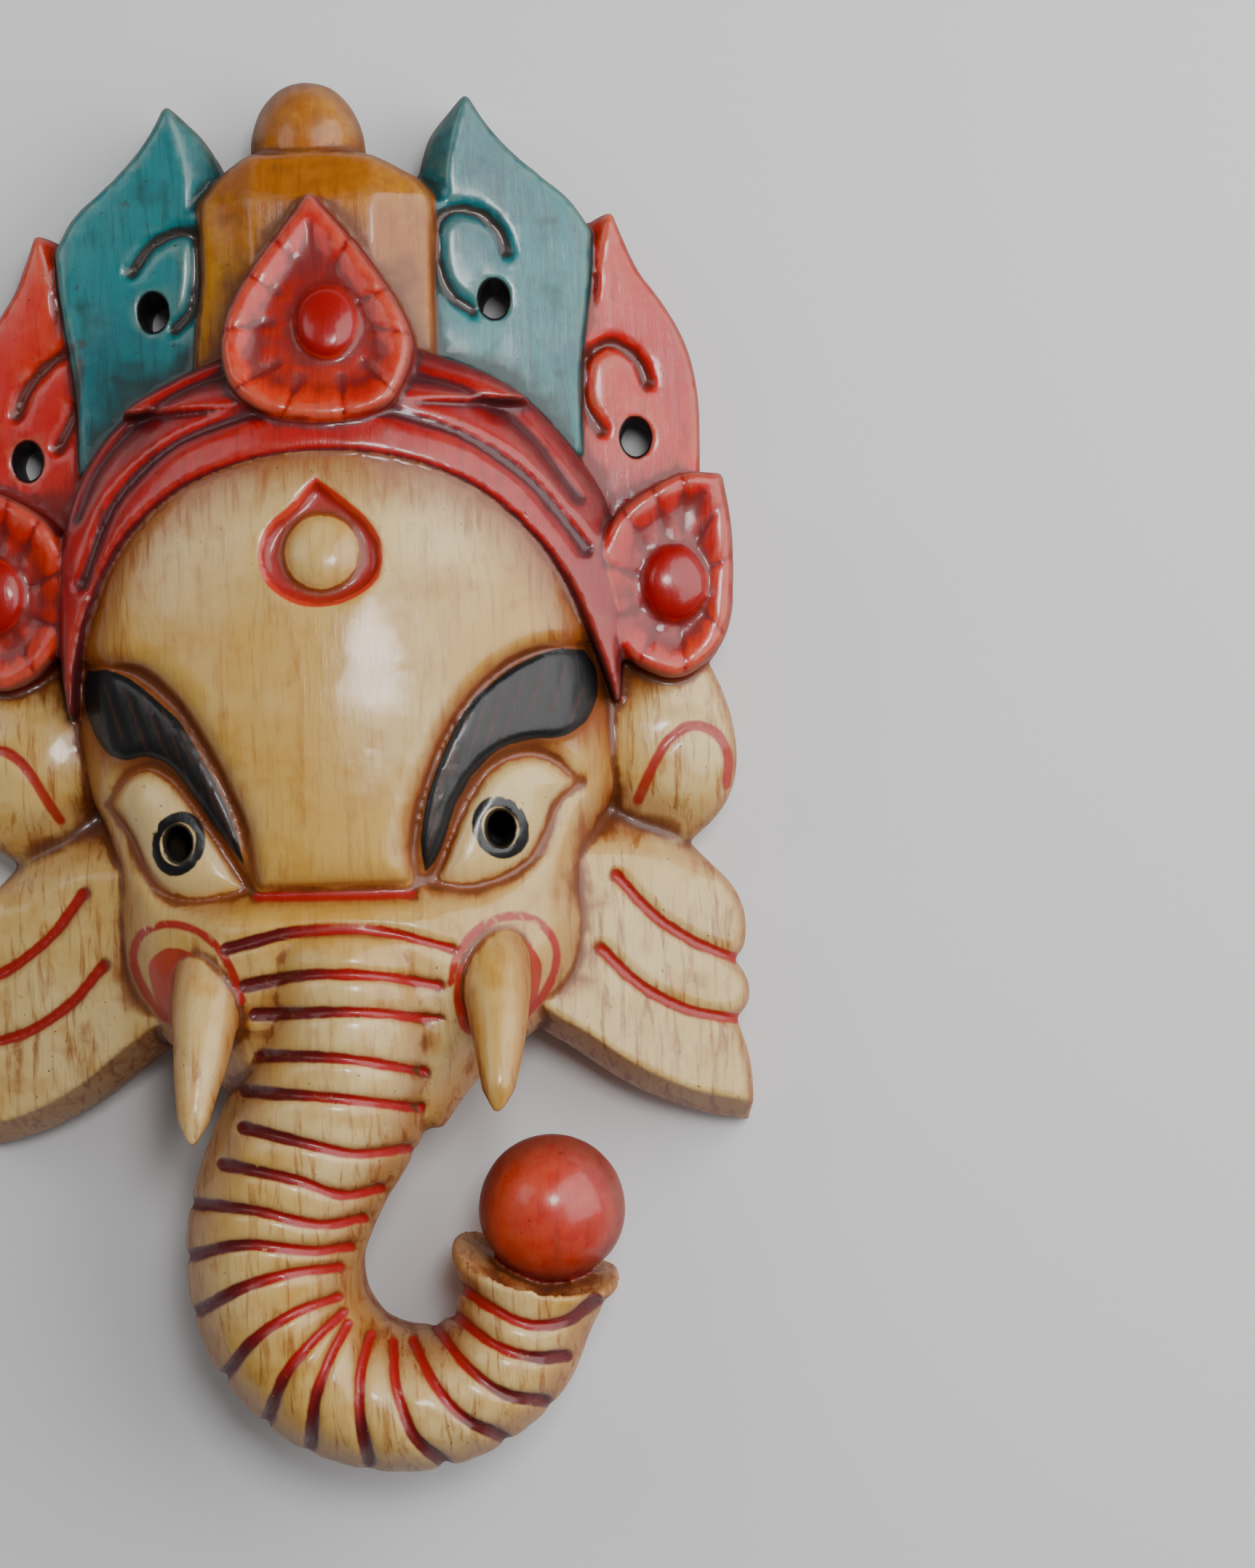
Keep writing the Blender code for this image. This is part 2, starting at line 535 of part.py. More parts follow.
def leaf(name, rim, ridge, scroll, top, side, collection):
    """A pointed crown leaf with a bevelled flank and a scroll."""
    rim, ridge = turned(rim, side), turned(ridge, side)
    centre = (side * scroll[0][0], scroll[0][1])
    rings = [circle(centre, scroll[1] + offset * SCROLL_CUT[0]) for offset in (-1.1, 0.0, 1.1)]
    return relief(name, rim, leaf_front(rim, ridge, scroll, top, side), collection,
                  lines=rings + [ridge, inset(rim, LEAF_ROUND)], spacing=LEAF_SPACING)


def ear(name, side, shift, collection):
    """An ear with its two cut lines and its bevelled hem."""
    rim = turned(EAR_RIM, side, shift)
    crease = turned(inset(EAR_RIM, HEM_WIDTH), side, shift)
    crease = crease[gap_to(crease, turned(EAR_HEM, side, shift))[0] < 1.1 * HEM_WIDTH]
    lines = [turned(line, side, shift) for path in EAR_LINES for line in cut_lines(path, EAR_CUT[0])]
    return relief(name, rim, ear_front(side, shift), collection,
                  lines=lines + [crease, inset(rim, 0.3 * EAR_ROUND), inset(rim, EAR_ROUND)])


def loft(name, rings, collection):
    """A closed skin over rings of the same number of places."""
    shape = bmesh.new()
    loops = [[shape.verts.new(place) for place in ring] for ring in rings]
    for lower, upper in zip(loops, loops[1:]):
        for index in range(len(lower)):
            after = (index + 1) % len(lower)
            shape.faces.new((lower[index], lower[after], upper[after], upper[index]))
    shape.faces.new(reversed(loops[0]))
    shape.faces.new(loops[-1])
    return closed_object(name, shape, collection)


def trunk_at(share):
    """Middle, direction, half width and front height of the trunk at a share of its length."""
    line = curve_through([(x, y, half, rise) for (x, y), half, rise
                          in zip(TRUNK_LINE, TRUNK_HALF, TRUNK_RISE)], 1.0)
    travel = np.concatenate([[0.0], np.cumsum(np.linalg.norm(np.diff(line[:, :2], axis=0), axis=1))])
    travel /= travel[-1]
    here = np.array([np.interp(share, travel, line[:, axis]) for axis in range(4)])
    ahead = np.array([np.interp(share + 0.01, travel, line[:, axis]) for axis in range(2)])
    behind = np.array([np.interp(share - 0.01, travel, line[:, axis]) for axis in range(2)])
    along = (ahead - behind) / np.linalg.norm(ahead - behind)
    return here[:2], along, here[2], TRUNK_FRONT + here[3]


def trunk_ring(share, shrink=0.0, flare=0.0, dip=0.0, sink=0.0):
    """One ring of the trunk. It is round in front and squarer behind."""
    middle, along, half, front = trunk_at(share)
    back = TRUNK_LIFT / UNIT
    across = np.array([along[1], -along[0]])
    deep = 0.5 * (front - back)
    ring = []
    for index in range(TRUNK_SIDES):
        angle = 2.0 * math.pi * index / TRUNK_SIDES
        side, out = math.cos(angle), math.sin(angle)
        power = TRUNK_POWERS[0] if out > 0 else TRUNK_POWERS[1]
        side = math.copysign(abs(side) ** power, side)
        out = math.copysign(abs(out) ** power, out)
        reach = half + flare - shrink * max(out, 0.3)
        rise = deep + 0.2 * flare - shrink * max(out, 0.0)
        spot = middle + across * side * reach
        spot = spot - along * (dip * max(out, 0.0) + sink)
        ring.append((spot[0], spot[1], back + deep + out * rise))
    return ring


def trunk(collection):
    """The trunk with a groove at each stripe, and the flared cup at its end."""
    width = 0.0075
    deep = STRIPE_DEPTH / UNIT
    stops = [(0.0, 0.0), (0.035, 0.0)]
    for station in STRIPE_STATIONS:
        stops += [(station - width, 0.0), (station, deep), (station + width, 0.0)]
    rings = [trunk_ring(share, shrink=cut) for share, cut in stops]
    wall = CUP_WALL / UNIT
    cup = 0.5 * BALL_DIAMETER / UNIT + wall - TRUNK_HALF[-1]
    rings.append(trunk_ring(0.972, flare=0.45 * cup, dip=0.5 * CUP_DIP))
    rings.append(trunk_ring(0.995, flare=cup, dip=CUP_DIP))
    rings.append(trunk_ring(1.0, flare=cup - 0.4 * wall, dip=CUP_DIP))
    rings.append(trunk_ring(1.0, flare=cup - wall, dip=CUP_DIP, sink=0.5))
    rings.append(trunk_ring(1.0, flare=-0.5 * TRUNK_HALF[-1], dip=CUP_DIP, sink=3.0))
    return loft("trunk", rings, collection)


def ball(collection):
    """The sweet ball held by the end of the trunk."""
    shape = bmesh.new()
    radius = 0.5 * BALL_DIAMETER / UNIT
    bmesh.ops.create_uvsphere(shape, u_segments=BALL_SIDES[0], v_segments=BALL_SIDES[1],
                              radius=radius)
    bmesh.ops.translate(shape, vec=BALL_CENTRE, verts=shape.verts)
    return closed_object("ball", shape, collection)


def tusk(name, line, collection):
    """A tapering tusk along its middle line."""
    root = TUSK_ROOT / UNIT
    path = curve_through([tuple(spot) + (share,) for spot, share in zip(line, TUSK_SHARES)], 3.0)
    rings = []
    for index, spot in enumerate(path):
        nearby = path[min(index + 1, len(path) - 1), :3] - path[max(index - 1, 0), :3]
        along = Vector(nearby).normalized()
        across = along.cross(Vector((0, 0, 1))).normalized()
        out = across.cross(along)
        radius = root * spot[3]
        ring = []
        for side in range(TUSK_SIDES):
            angle = 2.0 * math.pi * side / TUSK_SIDES
            ring.append(tuple(Vector(spot[:3]) + across * radius * math.cos(angle)
                              + out * radius * math.sin(angle)))
        rings.append(ring)
    return loft(name, rings, collection)


def knob(collection):
    """The turned knob on the pot, a profile spun round the mask's height."""
    shape = bmesh.new()
    x, z = KNOB_CENTRE
    profile = [shape.verts.new((x + radius, y, z)) for radius, y in KNOB_PROFILE]
    edges = [shape.edges.new(pair) for pair in zip(profile, profile[1:])]
    bmesh.ops.spin(shape, geom=profile + edges, cent=(x, 0, z), axis=(0, 1, 0), angle=2 * math.pi,
                   steps=KNOB_SIDES, use_merge=True)
    bmesh.ops.remove_doubles(shape, verts=shape.verts, dist=0.05)
    rim = [edge for edge in shape.edges if edge.is_boundary]
    bmesh.ops.contextual_create(shape, geom=rim)
    bmesh.ops.scale(shape, vec=(1, 1, KNOB_FLAT), verts=shape.verts, space=Matrix.Translation((0, 0, -z)))
    return closed_object("knob", shape, collection)


def forms(collection):
    """Every carved form of the mask, each closed and reaching into its neighbours."""
    brow_lines = [inset(brow, share * BROW_ROUND) for brow in (RIGHT_BROW, LEFT_BROW)
                  for share in (0.0, 0.3, 1.0)]
    eye_lines = [inset(eye, share * EYE_ROUND) for eye in (RIGHT_EYE, LEFT_EYE)
                 for share in (-0.1, 0.02, 0.1, 0.4)]
    tilak_lines = [inset(TILAK_RIM, share * TILAK_SINK) for share in (0.0, 0.3, 1.0)]
    tilak_lines.append(circle(TILAK_BUTTON, TILAK_BUTTON_SIZE - 0.4))
    face_lines = tilak_lines + brow_lines + eye_lines + [PANEL_LEFT, PANEL_RIGHT, BAR]
    band_lines = [line for path in BAND_GROOVES for line in cut_lines(path, BAND_CUT[0])]
    band_lines += [inset(BAND_RIM, 0.3 * BAND_ROUND), inset(BAND_RIM, BAND_ROUND)]
    made = [relief("face", HEAD_RIM, face_front, collection, lines=face_lines),
            relief("band", BAND_RIM, band_front, collection, lines=band_lines),
            relief("pot", POT_RIM, pot_front, collection, lines=[inset(POT_RIM, BROW_ROUND)],
                   spacing=POT_SPACING),
            jewel("jewel", JEWEL_RIM, JEWEL_BUTTON, jewel_plane, collection)]
    for side, label in ((1, "right"), (-1, "left")):
        made.append(leaf(label + "_teal_leaf", TEAL_LEAF, TEAL_RIDGE, TEAL_SCROLL, LEAF_TOP, side,
                         collection))
        made.append(leaf(label + "_red_leaf", RED_LEAF, RED_RIDGE, RED_SCROLL,
                         LEAF_TOP - RED_LEAF_FALL, side, collection))
        shift = LEFT_ROSETTE_SHIFT if side < 0 else (0.0, 0.0)
        button = (side * ROSETTE_BUTTON[0] + shift[0], ROSETTE_BUTTON[1] + shift[1])
        made.append(jewel(label + "_rosette", turned(ROSETTE_RIM, side, shift), button, rosette_plane,
                          collection))
        made.append(ear(label + "_ear", side, LEFT_EAR_SHIFT if side < 0 else (0.0, 0.0), collection))
    made += [trunk(collection), ball(collection), knob(collection),
             tusk("right_tusk", RIGHT_TUSK, collection), tusk("left_tusk", LEFT_TUSK, collection)]
    return made


def hollow(collection):
    """The space behind the face, a wall's thickness under it and open at the back."""
    margin = HOLLOW_RIM / UNIT
    wall = HOLLOW_WALL / UNIT
    reach = np.arange(0.0, 0.5 * HEIGHT_UNITS, 0.5)
    rim = []
    for index in range(HOLLOW_SIDES):
        angle = 2.0 * math.pi * index / HOLLOW_SIDES
        ray = np.array([math.cos(angle), math.sin(angle)])
        depths = depth_in(HOLLOW_MIDDLE + reach[:, None] * ray, HEAD_RIM)
        rim.append(HOLLOW_MIDDLE + ray * reach[np.argmax(depths < margin)])
    rim = np.array(rim)

    def ceiling(spots):
        dome = bent(spots, FOREHEAD_TOP - PANEL_STEP - EYE_SINK - wall)
        return np.maximum(dome - rounded(depth_in(spots, rim), HOLLOW_ROUND), HOLLOW_LEAST)
    return relief("hollow", rim, ceiling, collection, base=-HOLLOW_LEAST, spacing=2.0 * FACE_SPACING)


def bore(name, place, diameter, collection):
    """A drill that passes through the wood. Its hole is a little taller than wide."""
    shape = bmesh.new()
    radius = 0.5 * diameter / UNIT
    bmesh.ops.create_cone(shape, cap_ends=True, segments=BORE_SIDES, radius1=radius, radius2=radius,
                          depth=THROUGH)
    bmesh.ops.scale(shape, vec=(1.0, BORE_TALL, 1.0), verts=shape.verts)
    bmesh.ops.translate(shape, vec=(place[0], place[1], 0.25 * THROUGH), verts=shape.verts)
    return closed_object(name, shape, collection)


def cutters(collection):
    """The hollow, the pupils and the drilled holes in the crown."""
    made = [hollow(collection)]
    for index, pupil in enumerate(PUPILS):
        made.append(bore(f"pupil_{index}", pupil, PUPIL_BORE, collection))
    for side in (1, -1):
        for label, hole in (("teal_hole", TEAL_HOLE), ("red_hole", RED_HOLE)):
            made.append(bore(f"{label}_{side}", (side * hole[0], hole[1]), LEAF_BORE, collection))
    for cutter in made:
        cutter.hide_render = True
        cutter.display_type = "WIRE"
    return made


def evaluated_mesh(piece):
    """The mesh that the piece's modifiers give."""
    graph = bpy.context.evaluated_depsgraph_get()
    return bpy.data.meshes.new_from_object(piece.evaluated_get(graph))


def wood():
    """Varnished cream wood."""
    material = bpy.data.materials.new("painted_wood")
    material.use_nodes = True
    shader = material.node_tree.nodes["Principled BSDF"]
    shader.inputs["Base Color"].default_value = WOOD_COLOUR
    shader.inputs["Roughness"].default_value = 0.35
    shader.inputs["Metallic"].default_value = 0.0
    return material


def main():
    """Join the carved forms, take out the hollows and thin the faces."""
    for leftover in list(bpy.data.objects):
        bpy.data.objects.remove(leftover)
    parts = bpy.data.collections.new("ganesha_mask")
    shaping = bpy.data.collections.new("cutters")
    bpy.context.scene.collection.children.link(parts)
    bpy.context.scene.collection.children.link(shaping)
    added = bpy.data.collections.new("carved_forms")
    shaping.children.link(added)
    taken = bpy.data.collections.new("carved_hollows")
    shaping.children.link(taken)
    pieces = forms(added)
    cutters(taken)
    mask = pieces[0]
    mask.name = "mask"
    added.objects.unlink(mask)
    parts.objects.link(mask)
    for piece in pieces[1:]:
        piece.hide_render = True
        piece.display_type = "WIRE"
    for operation, operands in (("UNION", added), ("DIFFERENCE", taken)):
        modifier = mask.modifiers.new(operation.lower(), "BOOLEAN")
        modifier.operation = operation
        modifier.operand_type = "COLLECTION"
        modifier.collection = operands
        modifier.solver = "EXACT"
    bpy.context.view_layer.update()
    full = evaluated_mesh(mask)
    full.calc_loop_triangles()
    mask.modifiers.clear()
    mask.data = full
    mask.data.materials.clear()
    mask.data.materials.append(wood())
    thin = mask.modifiers.new("thin", "DECIMATE")
    thin.ratio = min(1.0, TRIANGLES / len(full.loop_triangles))
    thin.use_collapse_triangulate = True
    mask.data = evaluated_mesh(mask)
    mask.modifiers.clear()
    for vert in mask.data.vertices:
        if vert.co.z < BACK_SNAP * UNIT:
            vert.co.z = 0.0
    mask.data.shade_smooth()
    mask.data.set_sharp_from_angle(angle=math.radians(SHARP_ANGLE))


main()
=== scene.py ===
import bpy, bmesh, math
import numpy as np
from mathutils import Matrix, Vector, noise
from mathutils.bvhtree import BVHTree


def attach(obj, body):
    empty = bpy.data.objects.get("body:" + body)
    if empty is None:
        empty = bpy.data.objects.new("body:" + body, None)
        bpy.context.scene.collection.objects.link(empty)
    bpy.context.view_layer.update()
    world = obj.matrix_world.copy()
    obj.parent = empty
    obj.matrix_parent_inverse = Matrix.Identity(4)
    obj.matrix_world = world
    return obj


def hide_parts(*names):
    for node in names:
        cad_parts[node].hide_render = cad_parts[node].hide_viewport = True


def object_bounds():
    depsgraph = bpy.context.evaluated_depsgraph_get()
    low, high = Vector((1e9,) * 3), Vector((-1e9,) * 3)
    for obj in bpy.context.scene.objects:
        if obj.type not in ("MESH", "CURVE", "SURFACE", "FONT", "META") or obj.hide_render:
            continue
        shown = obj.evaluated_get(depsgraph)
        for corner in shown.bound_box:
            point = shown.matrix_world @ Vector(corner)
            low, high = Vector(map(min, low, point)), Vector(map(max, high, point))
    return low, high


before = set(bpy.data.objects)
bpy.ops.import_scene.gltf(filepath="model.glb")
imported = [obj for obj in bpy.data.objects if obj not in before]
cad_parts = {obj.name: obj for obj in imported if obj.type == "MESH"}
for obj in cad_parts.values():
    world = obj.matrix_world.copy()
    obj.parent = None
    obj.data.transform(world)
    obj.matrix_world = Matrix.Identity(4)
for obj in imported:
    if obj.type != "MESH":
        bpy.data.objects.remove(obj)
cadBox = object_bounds()

# The carving is laid out in carver's units, about a millimetre each. +Z is out of the face, +Y up the crown.
carving = {"height": 0.250, "heightUnits": 251.2, "middle": (0.65, 0.60), "edgeStep": 1.0, "spacing": 0.62,
    "bendAcross": 0.0068, "bendAlong": 0.0022, "bendMiddle": 5.0, "voxel": 0.58, "triangles": 186000,
    "atOnce": 3000}
unit = carving["height"] / carving["heightUnits"]


# The photograph's viewpoint, in carver's units: straight over the right brow, looking down
view = {"eye": (51.4, -4.07, 700.0), "up": (0.0401, 0.9992, 0.0), "lens": 86.2}
handMarks = {"coarse": (9.0, 0.16), "fine": (2.6, 0.05), "backSnap": 0.35}


# how far along a path each of its places lies
def travelAlong(path):
    return np.concatenate([[0.0], np.cumsum(np.linalg.norm(np.diff(path, axis=0), axis=1))])


# evenly spaced places on a smooth curve through the points
def curveThrough(points, step=carving["edgeStep"]):
    knots = np.array(points, dtype=float)
    if len(knots) == 2:
        knots = np.vstack([knots[0], knots.mean(axis=0), knots[1]])
    chords = np.sqrt(np.linalg.norm(np.diff(knots, axis=0), axis=1))
    slopes = np.diff(knots, axis=0) / chords[:, None]
    before, after = chords[:-1, None], chords[1:, None]
    middle = (slopes[:-1] * after + slopes[1:] * before) / (before + after)
    tangents = np.vstack([slopes[0], middle, slopes[-1]])
    share = np.linspace(0.0, 1.0, 12, endpoint=False)[:, None]
    places = []
    for index in range(len(knots) - 1):
        start, end = knots[index], knots[index + 1]
        lead, tail = tangents[index] * chords[index], tangents[index + 1] * chords[index]
        places.append((2 * share ** 3 - 3 * share ** 2 + 1) * start
                      + (share ** 3 - 2 * share ** 2 + share) * lead
                      + (3 * share ** 2 - 2 * share ** 3) * end
                      + (share ** 3 - share ** 2) * tail)
    path = np.vstack(places + [knots[-1][None]])
    travel = travelAlong(path)
    count = max(2, int(round(travel[-1] / step)) + 1)
    stops = np.linspace(0.0, travel[-1], count)
    return np.stack([np.interp(stops, travel, path[:, axis]) for axis in range(path.shape[1])], axis=1)


# one closed outline of smooth runs. Each run ends where the next one starts, in a corner
def outline(*runs, step=carving["edgeStep"]):
    parts = []
    for index, run in enumerate(runs):
        corner = runs[(index + 1) % len(runs)][0]
        parts.append(curveThrough(list(run) + [corner], step)[:-1])
    return np.vstack(parts)


# the distance from each spot to a path, and the share of the path passed there; spots far off get a rough one
def gapTo(spots, path, closed=False, reach=9.0):
    starts = path if closed else path[:-1]
    ends = np.roll(path, -1, axis=0) if closed else path[1:]
    runs = ends - starts
    squares = np.maximum((runs ** 2).sum(axis=1), 1e-9)
    travel = np.concatenate([[0.0], np.cumsum(np.sqrt(squares))])
    low, high = path.min(axis=0) - reach, path.max(axis=0) + reach
    gaps = reach + np.linalg.norm(np.maximum(np.maximum(low - spots, spots - high), 0.0), axis=1)
    shares = np.zeros(len(spots))
    near = np.flatnonzero(((spots > low) & (spots < high)).all(axis=1))
    for first in range(0, len(near), carving["atOnce"]):
        rows = near[first:first + carving["atOnce"]]
        offsetX = spots[rows, 0:1] - starts[:, 0]
        offsetY = spots[rows, 1:2] - starts[:, 1]
        part = np.clip((offsetX * runs[:, 0] + offsetY * runs[:, 1]) / squares, 0.0, 1.0)
        away = (offsetX - part * runs[:, 0]) ** 2 + (offsetY - part * runs[:, 1]) ** 2
        nearest = away.argmin(axis=1)
        pick = np.arange(len(rows))
        gaps[rows] = np.sqrt(away[pick, nearest])
        shares[rows] = (travel[nearest] + part[pick, nearest] * np.sqrt(squares)[nearest]) / travel[-1]
    return gaps, shares


# how far each spot lies inside a closed rim; spots outside it are below zero
def depthIn(spots, rim):
    gaps = gapTo(spots, rim, closed=True)[0]
    starts, ends = rim, np.roll(rim, -1, axis=0)
    inside = np.zeros(len(spots), dtype=bool)
    near = np.flatnonzero(((spots > rim.min(axis=0)) & (spots < rim.max(axis=0))).all(axis=1))
    rise = np.where(np.abs(ends[:, 1] - starts[:, 1]) < 1e-12, 1e-12, ends[:, 1] - starts[:, 1])
    for first in range(0, len(near), carving["atOnce"]):
        rows = near[first:first + carving["atOnce"]]
        x, y = spots[rows, 0:1], spots[rows, 1:2]
        spans = (starts[:, 1] > y) != (ends[:, 1] > y)
        crossing = starts[:, 0] + (y - starts[:, 1]) * (ends[:, 0] - starts[:, 0]) / rise
        inside[rows] = (spans & (x < crossing)).sum(axis=1) % 2 == 1
    return np.where(inside, gaps, -gaps)


def nearestGap(spots, paths):
    return np.min([gapTo(spots, path)[0] for path in paths], axis=0)


def deepestIn(spots, rims):
    return np.max([depthIn(spots, rim) for rim in rims], axis=0)


# the height of a quarter round, from 0 at its foot to 1
def quarter(share):
    return np.sqrt(1.0 - (1.0 - np.clip(share, 0.0, 1.0)) ** 2)


# a smooth step from 0 to 1
def ease(share):
    share = np.clip(share, 0.0, 1.0)
    return share * share * (3.0 - 2.0 * share)


# a rounded cut of a width and depth along a path, as a height to take away
def groove(spots, path, cut):
    width, depth = cut
    return depth * np.exp(-(gapTo(spots, path)[0] / (0.5 * width)) ** 2)


# the height of the domed board that the face and the band are carved in
def bent(spots, top):
    along = spots[:, 1] - carving["bendMiddle"]
    return top - carving["bendAcross"] * spots[:, 0] ** 2 - carving["bendAlong"] * along ** 2


# what a rounded edge of this radius takes away at each depth inside the edge
def rounded(depths, radius):
    return radius * (1.0 - quarter(depths / radius))


# Outlines of the head, in units
faceSizes = {"top": 50.0, "panelStep": 3.6, "panelRound": 5.0, "muzzleRise": 3.4, "muzzleTop": -19.0,
    "muzzleSide": (34.0, 16.0), "muzzleCore": (26.0, 14.0), "muzzleFade": (7.0, 12.0), "cheekRise": 4.2,
    "cheeks": ((30.5, -33.0), (-28.5, -33.0)), "cheekSize": 11.3, "headRound": 10.0, "barCut": (2.4, 1.3)}
headRim = outline(
    [(0, 66), (18, 63), (34, 53), (44, 40), (48, 26), (50.2, 9), (49.6, -4), (46, -11), (44.6, -20),
    (45, -30), (43, -38), (38.5, -43.5), (30, -50), (22, -56.5)], [(16, -64), (-14, -64)], [(-20, -58),
    (-28, -51), (-35, -45.5), (-40, -37), (-41, -26), (-41, -16), (-42.4, -9), (-45, -3), (-47, 8),
    (-47, 24), (-43, 39), (-33, 53), (-18, 62)])
panelLeft = curveThrough(
    [(-14, -20), (-15.2, -9.8), (-17.2, -4.2), (-20.4, 3), (-24, 9.4), (-28, 15), (-33.6, 19.5),
    (-44, 20.5)])
panelRight = curveThrough(
    [(44.5, 21), (35.2, 19.8), (28.8, 16.2), (24, 11.4), (20, 6), (17.2, 0.4), (14.8, -6), (13.2, -13),
    (13, -20)])
panelRim = np.vstack([panelRight, panelLeft, [(-60, 22), (-60, 80), (60, 80), (60, 22)]])
browSizes = {"rise": 1.7, "round": 1.6, "cut": (1.0, 0.28), "cutInset": 0.4}
rightBrow = outline(
    [(44.6, 20.4), (39, 20.2), (34, 18.4), (28.8, 15.2), (24.6, 11.4), (21.2, 6.4), (18, -0.4),
    (15.8, -7), (14.8, -13)], [(15.4, -18.4), (17.8, -15.5), (19.6, -11.4), (21.4, -6.4), (24.6, -1.4),
    (29.6, 3), (35, 4.4), (40.4, 4.8), (44.6, 7.4), (46.8, 12), (46.6, 17)])
leftBrow = outline(
    [(-44, 20), (-39.4, 19.8), (-35, 17.8), (-30, 13.6), (-26, 9.4), (-23, 4.2), (-20, -1.8),
    (-17.4, -8.6)], [(-15.8, -16.4), (-18.6, -12.4), (-22.2, -7.4), (-25.4, -2.4), (-29, 2.2), (-33, 4),
    (-37.4, 3.6), (-41.4, 6), (-44.2, 11.6), (-45, 16.6)])
eyeSizes = {"rise": 3.4, "round": 6.5, "sink": 2.2, "pupils": ((28.8, -11.0), (-27.8, -11.4)), "edge": 0.5}
rightEye = outline(
    [(17.4, -19.4), (20.4, -12.6), (23.8, -6), (27.8, -0.8), (33, 1.4), (37.6, 0.6)], [(42, -3.4),
    (38.6, -6.6), (36.4, -11.4), (33.4, -16.2), (28, -19.4), (22, -20.6)])
leftEye = outline(
    [(-16.4, -19.8), (-20.4, -12.6), (-25, -5.4), (-29.2, -0.4), (-33, 1.6), (-37, 0.2)], [(-40.6, -4),
    (-37, -9.4), (-34, -15.6), (-30.6, -19.6), (-26, -21), (-21, -20.8)])
brows, eyes = (rightBrow, leftBrow), (rightEye, leftEye)
tilakSizes = {"sink": 1.9, "buttonRise": 2.6, "button": (-0.2, 38.4), "buttonSize": 6.6}
tilakRim = outline(
    [(-1, 51.2), (-4.8, 46.8), (-8.8, 43.4), (-10.8, 38.6), (-9.6, 33.6), (-5.4, 30.2), (0, 29.2),
     (5, 30.4), (9.2, 33.8), (10, 39), (7.8, 43.4), (3.4, 47.6)], step=1.6)
bar = curveThrough([(-14, -21.2), (0, -21.6), (13, -21.8)])
hollowSizes = {"rim": 0.011, "wall": 0.011, "round": 14.0, "least": 3.0, "middle": (1.0, 10.0)}
boreSizes = {"pupil": 0.0050, "leaf": 0.0054, "tall": 1.28, "through": 90.0}
browCuts = [curveThrough(ends) for ends in (
    [(44.2, 13.4), (41.8, 7.0)], [(41.4, 17.6), (38.4, 8.6)], [(38.0, 17.6), (33.6, 7.0)], [(34.2, 16),
    (30, 5.0)], [(30.6, 14), (26.8, 3.4)], [(27.4, 12), (23.8, 1.4)], [(24.0, 9.4), (20.6, -2)],
    [(21.4, 4.6), (18.2, -6)], [(19.2, -1), (16.6, -10)], [(18.6, -7), (16.0, -15)], [(-42.8, 14),
    (-40.6, 7)], [(-40.4, 17.4), (-37.0, 6.6)], [(-36.8, 17), (-32.8, 5.6)], [(-33, 14.8), (-29, 4)],
    [(-29.4, 12), (-25.8, 0.8)], [(-26.2, 8.6), (-22.8, -3)], [(-23.2, 3.6), (-20, -7.6)],
    [(-20.4, -2.4), (-18, -11)])]

# Outlines of the band and the crown
bandSizes = {"top": 51.0, "round": 2.0, "fallFrom": 8.0, "fallOver": 12.0, "fall": 7.0, "cut": (2.6, 1.5)}
bandEdge = curveThrough(
    [(50.4, 9), (46.8, 20), (42.6, 31), (36.6, 40), (27, 48.6), (15, 53.8), (0, 56), (-14, 54.4),
    (-26, 50), (-36.6, 41), (-42.6, 30), (-45.4, 20), (-46.8, 8.6)])
bandRim = np.vstack([bandEdge, curveThrough(
    [(-48.4, 20), (-48.6, 34), (-47, 47), (-43, 57.5), (-34, 67), (-22, 73.4), (-8, 76.4), (8, 76.4),
    (22, 73.4), (35, 66.4), (44, 56.4), (50, 45), (52, 28)])])
bandGrooves = [curveThrough(ends) for ends in (
    [(5, 72), (17, 69.4), (27, 66), (36, 59), (44.6, 47)], [(2, 65.6), (13, 62.6), (25, 58.2),
    (36, 50.2), (45.6, 38)], [(-10, 73.2), (-25, 68.4), (-34, 62.8), (-41, 55), (-44.6, 47)],
    [(-1, 65.6), (-12, 63.2), (-26, 58.6), (-37, 49), (-43.4, 35)])]
potSizes = {"top": 31.0, "round": 1.6, "sideLean": 0.55, "shoulderLean": 0.6, "panel": (-0.6, 11.0, 103.0)}
potRim = outline(
    [(-12.6, 112), (-17.6, 108.6)], [(-21.6, 103.4), (-21.6, 92), (-21.2, 60)], [(20, 60), (20.4, 92),
    (20.6, 103)], [(17.6, 107), (8.6, 111.4)])
knobSizes = {"centre": (-2.2, 15.0), "flat": 0.95}
knobProfile = curveThrough(
    [(10.4, 108.5), (10.5, 113), (9.9, 117.4), (7.8, 121.8), (4.4, 125), (0.01, 126.2)], 1.6)
leafSizes = {"top": 24.0, "redFall": 2.0, "lean": 0.17, "root": 20.0, "ridgeFade": 5.0, "flankLean": 1.1,
    "round": 1.0, "scrollCut": (2.3, 1.5), "tealHole": (30.8, 84.4),
    "redHole": (55.4, 59.0)}
tealLeaf = outline(
    [(27.2, 122), (30.4, 116.6), (34.8, 111.4), (40.4, 106.6), (45, 102.6)], [(48.8, 96.6), (48, 86),
    (46.2, 73)], [(45.6, 56), (18, 56)], [(17, 80), (17, 100)], [(17.4, 107), (20, 114.6), (24.2, 119.2)])
tealRidge = curveThrough([(27.2, 122), (24.6, 113.5), (23.4, 106), (25, 101)])
